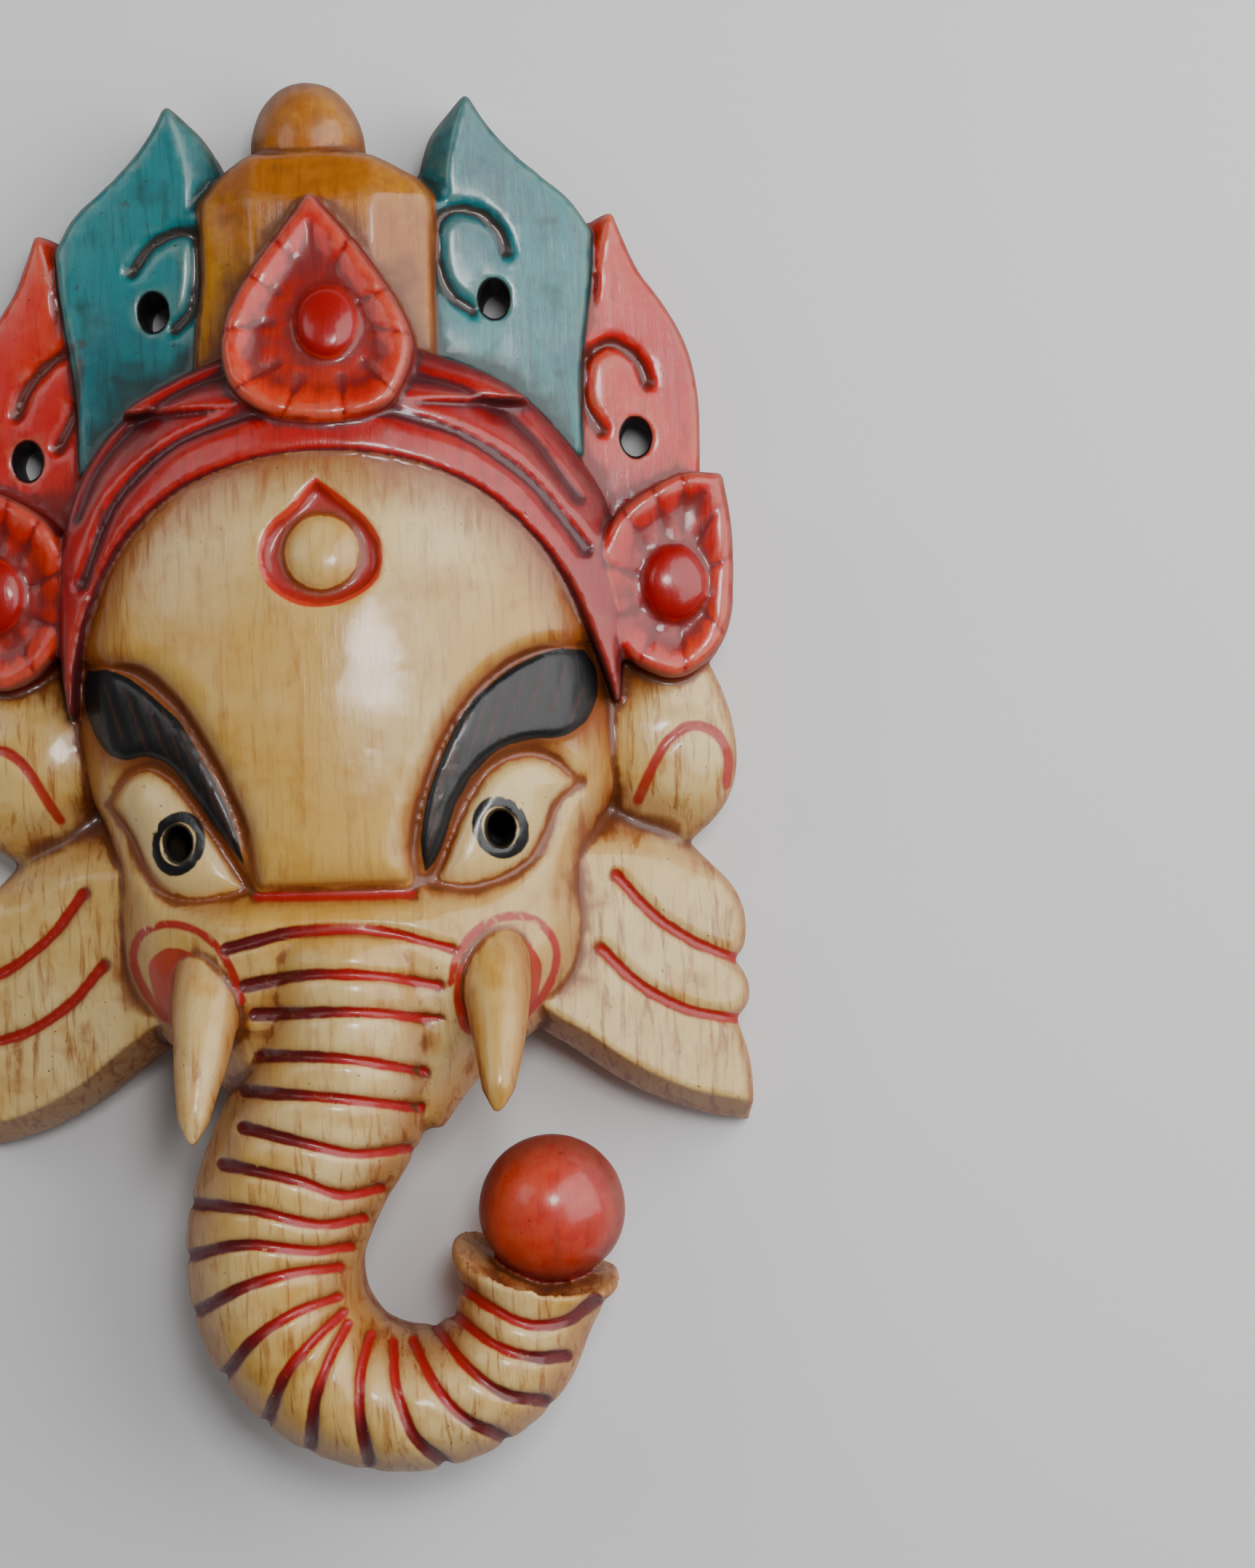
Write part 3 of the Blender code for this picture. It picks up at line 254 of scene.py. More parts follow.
redLeaf = outline(
    [(52.6, 100.4), (54.4, 95.6), (57, 89.6), (61.4, 83.4), (65, 76.6), (67, 68), (67.2, 60)],
    [(66.4, 44), (44, 44)], [(44, 70), (46, 93)], [(47.6, 98.4), (50.4, 99.8)])
redRidge = curveThrough([(52.6, 100.4), (50.4, 93), (49.6, 82)])
jewelSizes = {"top": 46.0, "lean": 0.24, "round": 1.8, "dishDepth": 1.5, "dishWidth": 5.0,
    "buttonRise": 0.0022, "cut": (1.0, 0.45), "buttonPower": 0.36,
    "button": (1.8, 79.2), "buttonSize": 5.4, "buttonTall": 1.2}
jewelRim = outline(
    [(-1, 103.6), (-6.2, 96.4), (-11.6, 89.4), (-15.8, 81.4), (-17, 74.6), (-15.4, 68.4), (-10.4, 63.8),
    (-2, 61.6), (7, 62), (12.6, 64.2), (15.8, 70), (16.6, 75.4), (14.4, 82),
     (9.6, 90), (4.2, 97)], step=1.8)
jewelCuts = [curveThrough(ends) for ends in (
    [(-8.4, 96), (-3.6, 90.6)], [(-13.2, 89.4), (-6.6, 84.6)], [(-17, 78.2), (-7.6, 79.6)],
    [(-14.6, 67.4), (-6.6, 72.4)], [(-6, 62.8), (-3, 69)], [(4.6, 62.6), (4.2, 69.4)], [(13.4, 66),
    (8, 71.6)], [(16.4, 76.4), (9.4, 77.8)], [(13.2, 85), (7.2, 82.2)], [(6.4, 95), (3.6, 88.6)])]
rosetteCuts = [curveThrough(ends) for ends in (
    [(52.6, 44.6), (56.4, 37.6)], [(58, 48.8), (60, 39.6)], [(63.4, 50.4), (63.2, 40.6)], [(70.2, 45.4),
    (65.2, 38.6)], [(71.8, 36), (66.6, 33.6)], [(48, 35.6), (55, 32.8)], [(48.8, 25), (55.4, 27.4)],
    [(54.6, 17.8), (58.4, 25.4)], [(62.6, 15.6), (61.8, 24.4)], [(69.4, 22.4), (65.2, 27.4)])]
scrollLines = {1: {"Teal": [[(20.5, 98), (24, 100.6), (28.4, 100), (32, 96.6), (33.2, 93)],
                            [(20.8, 97), (21, 91), (23, 85.6), (27, 82.4)]],
                   "Red": [[(47, 74), (51.4, 76.2), (56, 73.4), (57.8, 69)], [(46.6, 73), (46.2, 66),
                   (49, 60.4)]]},
               -1: {"Teal": [[(-22, 98), (-26, 98.4), (-30.6, 96.4), (-34.4, 92)],
                             [(-22.4, 97), (-22.6, 90), (-24.2, 84), (-27, 81.2)]],
                    "Red": [[(-44, 79.6), (-50, 77), (-55, 72), (-57, 67.6)], [(-44.6, 76), (-46, 68),
                    (-49.6, 61)]]}}
scrollCurves = {side: {kind: [curveThrough(ends) for ends in lines] for kind, lines in own.items()}
                for side, own in scrollLines.items()}
rosetteSizes = {"top": 33.0, "lean": 0.16, "button": (61.4, 31.4), "leftShift": (1.2, 2.4)}
rosetteRim = outline(
    [(70.6, 51), (71.8, 42), (71.8, 31), (71, 24.6), (68, 18.6), (61.4, 14.6), (56, 15.9), (51.4, 19.4),
    (48.4, 24.4), (47.2, 31), (48, 37.6), (51.2, 44), (56.6, 48.2), (64, 51.4)],
    step=1.8)

# Outlines of the ears
earSizes = {"top": 27.0, "fanTop": 29.0, "bendAcross": 0.020, "bendAlong": 0.018, "lobe": (57.0, 3.0),
    "lean": 0.36, "root": 45.0, "fanFrom": -4.0, "fanOver": 14.0, "cut": (2.2, 1.6), "hookCut": (1.8, 0.6),
    "round": 3.0, "foldDepth": 4.4, "hemWidth": 4.6, "hemDrop": 12.0, "leftShift": (2.0, 0.6)}
earRim = outline(
    [(40, 26), (60, 26), (66.6, 18), (70, 10), (71.4, 2), (70.6, -5), (67.4, -10.4)], [(62.2, -15.2),
    (66, -19), (69.8, -23.4), (71.9, -29), (71.4, -34.4)], [(69.4, -36.9), (71.8, -40.4), (71.8, -44.6)],
    [(69.6, -47.4), (71.6, -54.6), (72, -62)], [(71.4, -67.2), (60, -64), (49, -58.6), (40, -52),
    (33.5, -47.5), (26, -40)])
earHook = curveThrough(
    [(53.2, -7), (55.8, -1.6), (59, 3.4), (63.2, 6), (67.4, 4.6), (69.8, 0.4), (69.2, -5)])
earLines = [curveThrough(ends) for ends in (
    [(48.8, -20.4), (55, -27.6), (62, -32.8), (70, -36.6)], [(45.6, -33.4), (52, -40), (60.4, -45),
    (70.2, -47.6)])]
earFold = curveThrough([(64, -16), (58, -13), (50, -9.4), (46, -6)])
earHem = curveThrough([(26, -40), (33.5, -47.5), (40, -52), (49, -58.6), (60, -64), (71.4, -67.2)])

# The trunk: middle line, half width and front height at the same places
trunkSizes = {"front": 55.0, "stripeDepth": 1.0, "stripeWidth": 1.0, "roll": 0.15, "rollAt": 3.2,
    "rollWidth": 1.8, "lift": 0.0050, "cupWall": 0.0024, "cupDip": 3.6, "cupFlare": 0.2, "lookAhead": 0.01,
    "powers": (0.92, 0.60), "rootTop": -24.0, "rootSide": 48.0, "rootLow": 4.0, "edge": (0.4, 1.5),
    "muzzle": (-44.0, -26.0, 21.0, 36.0)}
trunkLine = [(0, -18), (0.6, -30), (1, -44), (-3, -58), (-10.4, -71), (-14.8, -85), (-12.8, -98),
              (-4.4, -108.4), (7, -112.6), (18, -111), (26, -105), (29.4, -97), (31.8, -88)]
trunkHalf = [15.0, 17.4, 16.6, 16.8, 16.4, 15.6, 14.8, 13.4, 12.4, 11.8, 11.9, 12.3, 13.4]
trunkRise = [-17.0, -1.8, 0.0, 0.0, -1.0, -2.5, -4.5, -6.5, -8.0, -9.0, -9.5, -10.0, -10.0]

# The tusks, each with its middle line and shares of the root's width, and the ball in the cup
tuskSizes = {"shares": [0.42, 0.46, 0.36, 0.24, 0.15], "root": 0.0134, "tipRound": 0.12}
ballSizes = {"centre": (34.8, -79.6, 25.0), "diameter": 0.0262}
rightTusk = [(26.4, -30, 36), (27.0, -37, 43), (27.4, -46, 49.5), (27.2, -54, 54), (26.8, -59.8, 56)]
leftTusk = [(-23.2, -30, 36), (-23.4, -38, 43.5), (-24.2, -48, 50), (-25.2, -57, 54.5),
             (-25.8, -63.4, 56.5)]


# height of the forehead, brows, eyes and cheeks
def faceFront(spots):
    x, y = spots[:, 0], spots[:, 1]
    height = bent(spots, faceSizes["top"])
    panel = quarter(depthIn(spots, panelRim) / faceSizes["panelRound"])
    muzzle, swell = [ease((faceSizes["muzzleTop"] - y) / fade) * ease((half - np.abs(x)) / halfFade)
                     for (half, halfFade), fade in zip((faceSizes["muzzleSide"], faceSizes["muzzleCore"]),
                                                       faceSizes["muzzleFade"])]
    height -= faceSizes["panelStep"] * (1.0 - np.maximum(panel, muzzle))
    height += faceSizes["muzzleRise"] * swell
    for cheek in faceSizes["cheeks"]:
        away = ((x - cheek[0]) ** 2 + (y - cheek[1]) ** 2) / faceSizes["cheekSize"] ** 2
        height += faceSizes["cheekRise"] * np.exp(-away)
    for brow in brows:
        height += browSizes["rise"] * quarter(depthIn(spots, brow) / browSizes["round"])
    onBrow = ease(deepestIn(spots, brows) - browSizes["cutInset"])
    for cut in browCuts:
        height -= groove(spots, cut, browSizes["cut"]) * onBrow
    for eye in eyes:
        depth = depthIn(spots, eye)
        height += eyeSizes["rise"] * quarter(depth / eyeSizes["round"])
        height -= eyeSizes["sink"] * np.exp(-(np.maximum(-depth, 0.0) / eyeSizes["sink"]) ** 2)
    height -= tilakSizes["sink"] * quarter(depthIn(spots, tilakRim) / tilakSizes["sink"])
    button = np.linalg.norm(spots - tilakSizes["button"], axis=1) / tilakSizes["buttonSize"]
    height += tilakSizes["buttonRise"] * np.sqrt(np.clip(1.0 - button ** 2, 0.0, 1.0))
    height -= groove(spots, bar, faceSizes["barCut"])
    return height - rounded(depthIn(spots, headRim), faceSizes["headRound"])


# height of the red band over the forehead, with its carved grooves
def bandFront(spots):
    height = bent(spots, bandSizes["top"]) - rounded(depthIn(spots, bandRim), bandSizes["round"])
    away = gapTo(spots, bandEdge)[0]
    height -= bandSizes["fall"] * ease((away - bandSizes["fallFrom"]) / bandSizes["fallOver"])
    for path in bandGrooves:
        height -= groove(spots, path, bandSizes["cut"])
    return height


# height of the faceted pot behind the jewel
def potFront(spots):
    x, y = spots[:, 0], spots[:, 1]
    sides = potSizes["sideLean"] * np.maximum(np.abs(x - potSizes["panel"][0]) - potSizes["panel"][1], 0.0)
    shoulders = potSizes["shoulderLean"] * np.maximum(y - potSizes["panel"][2], 0.0)
    return potSizes["top"] - sides - shoulders - rounded(depthIn(spots, potRim), potSizes["round"])


# how far a spot lies on the inner side of a leaf's ridge, above the ridge's lower end
def ridgeInset(spots, ridge, side):
    order = np.argsort(ridge[:, 1])
    line = np.interp(spots[:, 1], ridge[order, 1], side * ridge[order, 0])
    above = ease((spots[:, 1] - ridge[:, 1].min()) / leafSizes["ridgeFade"])
    return np.maximum((line - side * spots[:, 0]) * above, 0.0)


# height function of one crown leaf: it falls away from the middle of the mask
def leafFront(rim, ridge, scrolls, top, side):

    def front(spots):
        height = top - leafSizes["lean"] * np.maximum(spots[:, 0] * side - leafSizes["root"], 0.0)
        height -= leafSizes["flankLean"] * ridgeInset(spots, ridge, side)
        for scroll in scrolls:
            height -= groove(spots, scroll, leafSizes["scrollCut"])
        return height - rounded(depthIn(spots, rim), leafSizes["round"])
    return front


# height function of a jewel: a raised rim, a dished field and a domed button
def dishedFront(rim, button, plane, cuts):
    dome = 0.5 * jewelSizes["dishDepth"] + jewelSizes["buttonRise"] / unit

    def front(spots):
        depth = depthIn(spots, rim)
        dish = jewelSizes["dishDepth"] * ease((depth - jewelSizes["round"]) / jewelSizes["dishWidth"])
        oval = jewelSizes["buttonSize"], jewelSizes["buttonTall"] * jewelSizes["buttonSize"]
        away = np.linalg.norm((spots - button) / oval, axis=1)
        swell = dome * np.clip(1.0 - away ** 2, 0.0, 1.0) ** jewelSizes["buttonPower"]
        notches = sum(groove(spots, cut, jewelSizes["cut"]) for cut in cuts) * (away > 1.0)
        return plane(spots) - rounded(depth, jewelSizes["round"]) - dish + swell - notches
    return front


# height function of one ear: a round upper lobe and a fan of lower lobes
def earFront(side, shift):
    def front(spots):
        own = (spots - shift) * (side, 1.0)
        x, y = own[:, 0], own[:, 1]
        upper = earSizes["top"] - earSizes["bendAcross"] * (x - earSizes["lobe"][0]) ** 2
        upper -= earSizes["bendAlong"] * (y - earSizes["lobe"][1]) ** 2
        fan = earSizes["fanTop"] - earSizes["lean"] * (x - earSizes["root"])
        height = upper + (fan - upper) * ease((earSizes["fanFrom"] - y) / earSizes["fanOver"])
        height -= earSizes["foldDepth"] * np.exp(-(gapTo(own, earFold)[0] / earSizes["foldDepth"]) ** 2)
        for path in earLines:
            height -= groove(own, path, earSizes["cut"])
        height -= groove(own, earHook, earSizes["hookCut"])
        height -= rounded(depthIn(own, earRim), earSizes["round"])
        hem = gapTo(own, earHem)[0]
        return height - earSizes["hemDrop"] * np.clip(1.0 - hem / earSizes["hemWidth"], 0.0, 1.0)
    return front


# the leaning plane that the rim of the drop jewel lies in
def jewelPlane(spots):
    return jewelSizes["top"] - jewelSizes["lean"] * (spots[:, 1] - jewelRim[:, 1].min())


# the leaning plane that the rim of a rosette lies in
def rosettePlane(spots):
    return rosetteSizes["top"] - rosetteSizes["lean"] * (np.abs(spots[:, 0]) - rosetteRim[:, 0].min())


# Painted and cut lines, laid out on levels of the carving
lineLevel = 45.0
stripes = [curveThrough(ends, 0.8) for ends in (
    [(-19.6, -30), (-6.7, -27.5), (6.7, -27.9), (19.6, -31.5)], [(-16.7, -36.7), (-6.7, -35.2),
    (6.7, -35.8), (17.1, -37.9)], [(-15, -41.7), (5, -42.1), (16.7, -44)], [(-15.4, -48.8), (0, -50),
    (15.8, -53.2)], [(-17.1, -55), (-2.5, -56.7), (13.8, -59.2)], [(-17.9, -61.3), (-6.7, -64.6),
    (1.7, -66.7), (10.8, -66.1)], [(-21.7, -67.5), (-9.2, -70.8), (-0.8, -73.8), (5.8, -72.9)],
    [(-26.7, -74.2), (-16.7, -75.8), (-5, -78.8), (2.5, -77.9)], [(-28.1, -83.3), (-19.2, -81.7),
    (-6.7, -83.3), (0, -82.8)], [(-26.8, -92.9), (-19.2, -89.2), (-10.8, -87.1), (-2.1, -86.3)],
    [(-23.1, -104.6), (-17.5, -98.3), (-10.8, -94.2), (-2.5, -91.5)], [(-15.8, -112.5), (-12.5, -105),
    (-7.5, -99.2), (-1.7, -94.2)], [(-8.3, -117.1), (-7.5, -110), (-5, -103.3), (-1, -96.1)],
    [(1.7, -120.4), (0.4, -112.5), (0.8, -105), (2.9, -98.3)], [(15, -121.3), (10, -116.7),
    (7.1, -108.3), (6.7, -99.6)], [(25.4, -117.1), (18.3, -113.3), (13.3, -106.7), (10.3, -99.6)],
    [(32.9, -111), (25.8, -109.6), (19.2, -104.2), (14.2, -97.1)], [(36.7, -103.3), (30.8, -103.3),
    (24.2, -100.8), (17.5, -95.4)], [(42.3, -93.6), (37.5, -97.1), (30.8, -97.7), (24.2, -94.6),
    (18.8, -90.8)])]
tuskRings = [curveThrough(ends, 0.8) for ends in (
    [(-30.8, -41.7), (-34.2, -36.7), (-36, -30.8), (-34.6, -27.1), (-30, -25.3), (-25, -26.5),
    (-21.3, -29.6), (-18.8, -34.2), (-17.3, -39.2)], [(19.2, -37.5), (20.4, -33.3), (23.3, -29.2),
    (27.5, -26.7), (31.7, -26.3), (35.4, -27.9), (37.7, -31.7), (37.5, -35.8), (35.4, -40),
    (32.5, -43.2)])]
mouths = [outline(*runs) for runs in (
    ([(19.6, -41), (20.6, -35.5), (24.4, -31.4), (29, -30), (33, -31.2), (35.2, -35), (34, -41)],
    [(33, -44), (27, -47), (21, -46)]), ([(-18.4, -44), (-20.6, -36), (-25, -31), (-30, -29.4),
    (-33.2, -32), (-32.4, -38), (-30, -43)], [(-28, -46), (-23, -48)]))]
pupilRings = (((28.8, -10.8), (4.0, 4.7), -0.42), ((-27.8, -11.4), (4.0, 4.8), 0.42))

# Modelling: every form starts as an operator's own grid, sphere or profile and is bent into place
pieces = {}


def keepForm(name, shape):
    bmesh.ops.recalc_face_normals(shape, faces=shape.faces)
    mesh = bpy.data.meshes.new(name)
    shape.to_mesh(mesh)
    pieces[name] = (mesh, BVHTree.FromBMesh(shape))
    shape.free()


# an object of its own from a bmesh, at the origin
def placed(name, shape):
    mesh = bpy.data.meshes.new(name)
    shape.to_mesh(mesh)
    shape.free()
    made = bpy.data.objects.new(name, mesh)
    bpy.context.scene.collection.objects.link(made)
    return made


# how far spots lie outside a drilled hole, which is a little taller than wide
def fromBore(spots, centre, radius):
    return np.linalg.norm((spots - centre) / (1.0, boreSizes["tall"]), axis=1) - radius


# a slab: a fine grid trimmed to the rim, its top drawn up to the front, its underside left flat
def relief(name, rim, front, holes=()):
    low, high = rim.min(axis=0), rim.max(axis=0)
    size, spacing = high - low, carving["spacing"]
    shape = bmesh.new()
    bmesh.ops.create_grid(shape, x_segments=int(size[0] / spacing) + 1, y_segments=int(size[1] / spacing) + 1,
                          size=0.5)
    spots = np.array([vert.co[:2] for vert in shape.verts])
    spots = low + (spots - spots.min(axis=0)) / np.ptp(spots, axis=0) * size
    depths = depthIn(spots, rim)
    for centre, radius in holes:
        depths = np.minimum(depths, fromBore(spots, centre, radius))
    for vert, spot in zip(shape.verts, spots):
        vert.co = (spot[0], spot[1], 0.0)
    spare = [vert for vert, depth in zip(list(shape.verts), depths) if depth < -0.35 * spacing]
    bmesh.ops.delete(shape, geom=spare, context="VERTS")
    border = [vert for vert in shape.verts if vert.is_boundary]
    edgeSpots = np.array([vert.co[:2] for vert in border])
    shares = gapTo(edgeSpots, rim, closed=True)[1]
    loop = np.vstack([rim, rim[:1]])
    travel = travelAlong(loop)
    for vert, share in zip(border, shares):
        vert.co.x = np.interp(share * travel[-1], travel, loop[:, 0])
        vert.co.y = np.interp(share * travel[-1], travel, loop[:, 1])
    for centre, radius in holes:
        for vert, spot in zip(border, edgeSpots):
            if fromBore(spot[None], centre, radius)[0] < 2.0 * spacing:
                way = (spot - centre) / (1.0, boreSizes["tall"])
                vert.co.x, vert.co.y = centre + radius * way / np.linalg.norm(way) * (1.0, boreSizes["tall"])
    raised = bmesh.ops.extrude_face_region(shape, geom=list(shape.faces))["geom"]
    top = [item for item in raised if isinstance(item, bmesh.types.BMVert)]
    heights = front(np.array([vert.co[:2] for vert in top]))
    for vert, height in zip(top, heights):
        vert.co.z = height
    keepForm(name, shape)


# a grid rolled into a tube: placeAt gives each corner's place from its row and its angle
def tube(name, rows, sides, placeAt):
    shape = bmesh.new()
    bmesh.ops.create_grid(shape, x_segments=sides, y_segments=rows, size=0.5)
    grid = np.array([vert.co[:2] for vert in shape.verts])
    grid = (grid - grid.min(axis=0)) / np.ptp(grid, axis=0)
    for vert, place in zip(shape.verts, placeAt(grid[:, 1], 2.0 * math.pi * grid[:, 0])):
        vert.co = place
    bmesh.ops.remove_doubles(shape, verts=shape.verts, dist=1e-4)
    bmesh.ops.holes_fill(shape, edges=[edge for edge in shape.edges if edge.is_boundary], sides=0)
    keepForm(name, shape)


# a rim or cut for either side of the mask, and how far the left ear and rosette are shifted
def turned(path, side, shift=(0.0, 0.0)):
    moved = path * (side, 1.0) + shift
    return moved if side > 0 else moved[::-1]


def shiftOf(sizes, side):
    return sizes["leftShift"] if side < 0 else (0.0, 0.0)


# the trunk: its middle line, half width and front height at a share of its length
trunkCurve = curveThrough([(*spot, *own) for spot, *own in zip(trunkLine, trunkHalf, trunkRise)], 0.5)
trunkTravel = travelAlong(trunkCurve[:, :2])
trunkLength = trunkTravel[-1]


def trunkPlaces(share, angle, flare, dip, sink):
    def at(part, axis):
        return np.interp(part * trunkLength, trunkTravel, trunkCurve[:, axis])
    ahead = trunkSizes["lookAhead"]
    along = np.stack([at(share + ahead, axis) - at(share - ahead, axis) for axis in (0, 1)], axis=1)
    along /= np.linalg.norm(along, axis=1)[:, None]
    across = np.stack([along[:, 1], -along[:, 0]], axis=1)
    back = trunkSizes["lift"] / unit
    deep = 0.5 * (trunkSizes["front"] + at(share, 3) - back)
    side, out = np.cos(angle), np.sin(angle)
    power = np.where(out > 0.0, *trunkSizes["powers"])
    side, out = np.sign(side) * np.abs(side) ** power, np.sign(out) * np.abs(out) ** power
    spot = np.stack([at(share, 0), at(share, 1)], axis=1) + across * (side * (at(share, 2) + flare))[:, None]
    spot -= along * (dip * np.maximum(out, 0.0) + sink)[:, None]
    return np.column_stack([spot, back + deep + out * (deep + trunkSizes["cupFlare"] * flare)])


def makeTrunk():
    wall, dip = trunkSizes["cupWall"] / unit, trunkSizes["cupDip"]
    cup = 0.5 * ballSizes["diameter"] / unit + wall - trunkHalf[-1]
    stops = [(0.0, 0, 0, 0), (0.5, 0, 0, 0), (0.94, 0, 0, 0), (0.972, 0.45 * cup, 0.5 * dip, 0),
             (0.992, cup, dip, 0), (1.0, cup - 0.4 * wall, dip, 0), (1.0, cup - wall, dip, 0.5),
             (1.0, -0.5 * trunkHalf[-1], dip, 3.0)]
    course = np.vstack([curveThrough([np.multiply(stop, (trunkLength, 1, 1, 1)) for stop in run], 0.8)
                        for run in (stops[:3], stops[2:6], stops[5:])])

    def placeAt(row, angle):
        own = np.stack([np.interp(row * (len(course) - 1), np.arange(len(course)), course[:, axis])
                        for axis in range(4)])
        return trunkPlaces(own[0] / trunkLength, angle, own[1], own[2], own[3])
    tube("trunk", len(course) - 1, 110, placeAt)


def makeTusk(name, line):
    root = tuskSizes["root"] / unit
    path = curveThrough([tuple(spot) + (share,) for spot, share in zip(line, tuskSizes["shares"])], 0.6)
    along = np.gradient(path[:, :3], axis=0)
    along /= np.linalg.norm(along, axis=1)[:, None]
    across = np.cross(along, (0.0, 0.0, 1.0))
    across /= np.linalg.norm(across, axis=1)[:, None]
    out = np.cross(across, along)

    def placeAt(row, angle):
        index = np.rint(row * (len(path) - 1)).astype(int)
        tip = np.sqrt(np.clip((1.0 - row) / tuskSizes["tipRound"], 0.0, 1.0))
        radius = (root * path[index, 3] * tip)[:, None]
        spoke = across[index] * np.cos(angle)[:, None] + out[index] * np.sin(angle)[:, None]
        return path[index, :3] + radius * spoke
    tube(name, len(path) - 1, 40, placeAt)


def makeKnob():
    shape = bmesh.new()
    x, z = knobSizes["centre"]
    profile = [shape.verts.new((x + radius, y, z)) for radius, y in knobProfile]
    edges = [shape.edges.new(pair) for pair in zip(profile, profile[1:])]
    bmesh.ops.spin(shape, geom=profile + edges, cent=(x, 0, z), axis=(0, 1, 0), angle=2 * math.pi, steps=90,
                   use_merge=True)
    bmesh.ops.remove_doubles(shape, verts=shape.verts, dist=0.02)
    bmesh.ops.holes_fill(shape, edges=[edge for edge in shape.edges if edge.is_boundary], sides=0)
    bmesh.ops.scale(shape, vec=(1, 1, knobSizes["flat"]), verts=shape.verts,
                    space=Matrix.Translation((0, 0, -z)))
    keepForm("knob", shape)


def makeBall():
    shape = bmesh.new()
    bmesh.ops.create_uvsphere(shape, u_segments=96, v_segments=60, radius=0.5 * ballSizes["diameter"] / unit)
    bmesh.ops.translate(shape, vec=ballSizes["centre"], verts=shape.verts)
    keepForm("ball", shape)


def makeForms():
    pupil, drill = 0.5 * boreSizes["pupil"] / unit, 0.5 * boreSizes["leaf"] / unit
    relief("face", headRim, faceFront, [(np.array(centre), pupil) for centre in eyeSizes["pupils"]])
    relief("band", bandRim, bandFront)
    relief("pot", potRim, potFront)
    relief("jewel", jewelRim, dishedFront(jewelRim, jewelSizes["button"], jewelPlane, jewelCuts))
    for side, label in ((1, "right"), (-1, "left")):
        for kind, rim, ridge, top in (("Teal", tealLeaf, tealRidge, leafSizes["top"]),
                                      ("Red", redLeaf, redRidge, leafSizes["top"] - leafSizes["redFall"])):
            rim, ridge = turned(rim, side), turned(ridge, side)
            hole = np.multiply(leafSizes[kind.lower() + "Hole"], (side, 1.0))
            relief(label + kind + "Leaf", rim, leafFront(rim, ridge, scrollCurves[side][kind], top, side),
                   [(hole, drill)])
        shift = shiftOf(rosetteSizes, side)
        button = np.multiply(rosetteSizes["button"], (side, 1.0)) + shift
        rim = turned(rosetteRim, side, shift)
        relief(label + "Rosette", rim,
               dishedFront(rim, button, rosettePlane, [turned(cut, side, shift) for cut in rosetteCuts]))
        shift = shiftOf(earSizes, side)
        relief(label + "Ear", turned(earRim, side, shift), earFront(side, shift))
    makeTrunk()
    makeBall()
    makeKnob()
    makeTusk("rightTusk", rightTusk)
    makeTusk("leftTusk", leftTusk)


# the space behind the face: its edge, and its ceiling a wall's thickness under the front
def hollowEdge():
    margin, middle = hollowSizes["rim"] / unit, np.array(hollowSizes["middle"])
    reach = np.arange(0.0, 0.5 * carving["heightUnits"], 0.25)
    rim = []
    for angle in np.linspace(0.0, 2.0 * math.pi, 96, endpoint=False):
        ray = np.array([math.cos(angle), math.sin(angle)])
        depths = depthIn(middle + reach[:, None] * ray, headRim)
        rim.append(middle + ray * reach[np.argmax(depths < margin)])
    return np.array(rim)


hollowRim = hollowEdge()


def ceiling(spots):
    top = faceSizes["top"] - faceSizes["panelStep"] - eyeSizes["sink"] - hollowSizes["wall"] / unit
    dome = bent(spots, top)
    return np.maximum(dome - rounded(depthIn(spots, hollowRim), hollowSizes["round"]), hollowSizes["least"])


# the back drawn up into the hollow, and the pupils' holes shortened to meet it
def hollowedOut(places):
    places = places.copy()
    within = depthIn(places[:, :2], hollowRim) > 0.0
    roof = ceiling(places[:, :2])
    for centre in eyeSizes["pupils"]:
        away = fromBore(places[:, :2], centre, 0.5 * boreSizes["pupil"] / unit)
        top = places[(away < 1.5) & (places[:, 2] > 30.0), 2].mean()
        wall = within & (away < 0.8) & (places[:, 2] < top - 2.0)
        places[wall, 2] = roof[wall] + places[wall, 2] * (1.0 - roof[wall] / top)
    under = within & (places[:, 2] < 0.6)
    places[under, 2] = roof[under]
    return places


def applied(piece, *steps):
    for kind, settings in steps:
        modifier = piece.modifiers.new(kind.lower(), kind)
        for name, value in settings.items():
            setattr(modifier, name, value)
    graph = bpy.context.evaluated_depsgraph_get()
    mesh = bpy.data.meshes.new_from_object(piece.evaluated_get(graph))
    piece.modifiers.clear()
    piece.data = mesh
    return mesh


# the largest connected body alone: the remesh leaves small closed bubbles where forms just miss each other
def withoutBubbles(mesh):
    shape = bmesh.new()
    shape.from_mesh(mesh)
    seen, bodies = set(), []
    for start in shape.verts:
        if start in seen:
            continue
        seen.add(start)
        body = [start]
        for vert in body:
            for edge in vert.link_edges:
                other = edge.other_vert(vert)
                if other not in seen:
                    seen.add(other)
                    body.append(other)
        bodies.append(body)
    bodies.sort(key=len)
    bmesh.ops.delete(shape, geom=[vert for body in bodies[:-1] for vert in body], context="VERTS")
    shape.to_mesh(mesh)
    shape.free()
    print("bubbles taken out", len(bodies) - 1)


def readPlaces(mesh):
    flat = np.empty(3 * len(mesh.vertices), dtype=np.float64)
    mesh.vertices.foreach_get("co", flat)
    return flat.reshape(-1, 3)


def readNormals(mesh):
    flat = np.empty(3 * len(mesh.vertices), dtype=np.float32)
    mesh.vertex_normals.foreach_get("vector", flat)
    return flat.reshape(-1, 3).astype(np.float64)


def writePlaces(mesh, places):
    mesh.vertices.foreach_set("co", places.astype(np.float32).ravel())
    mesh.update()


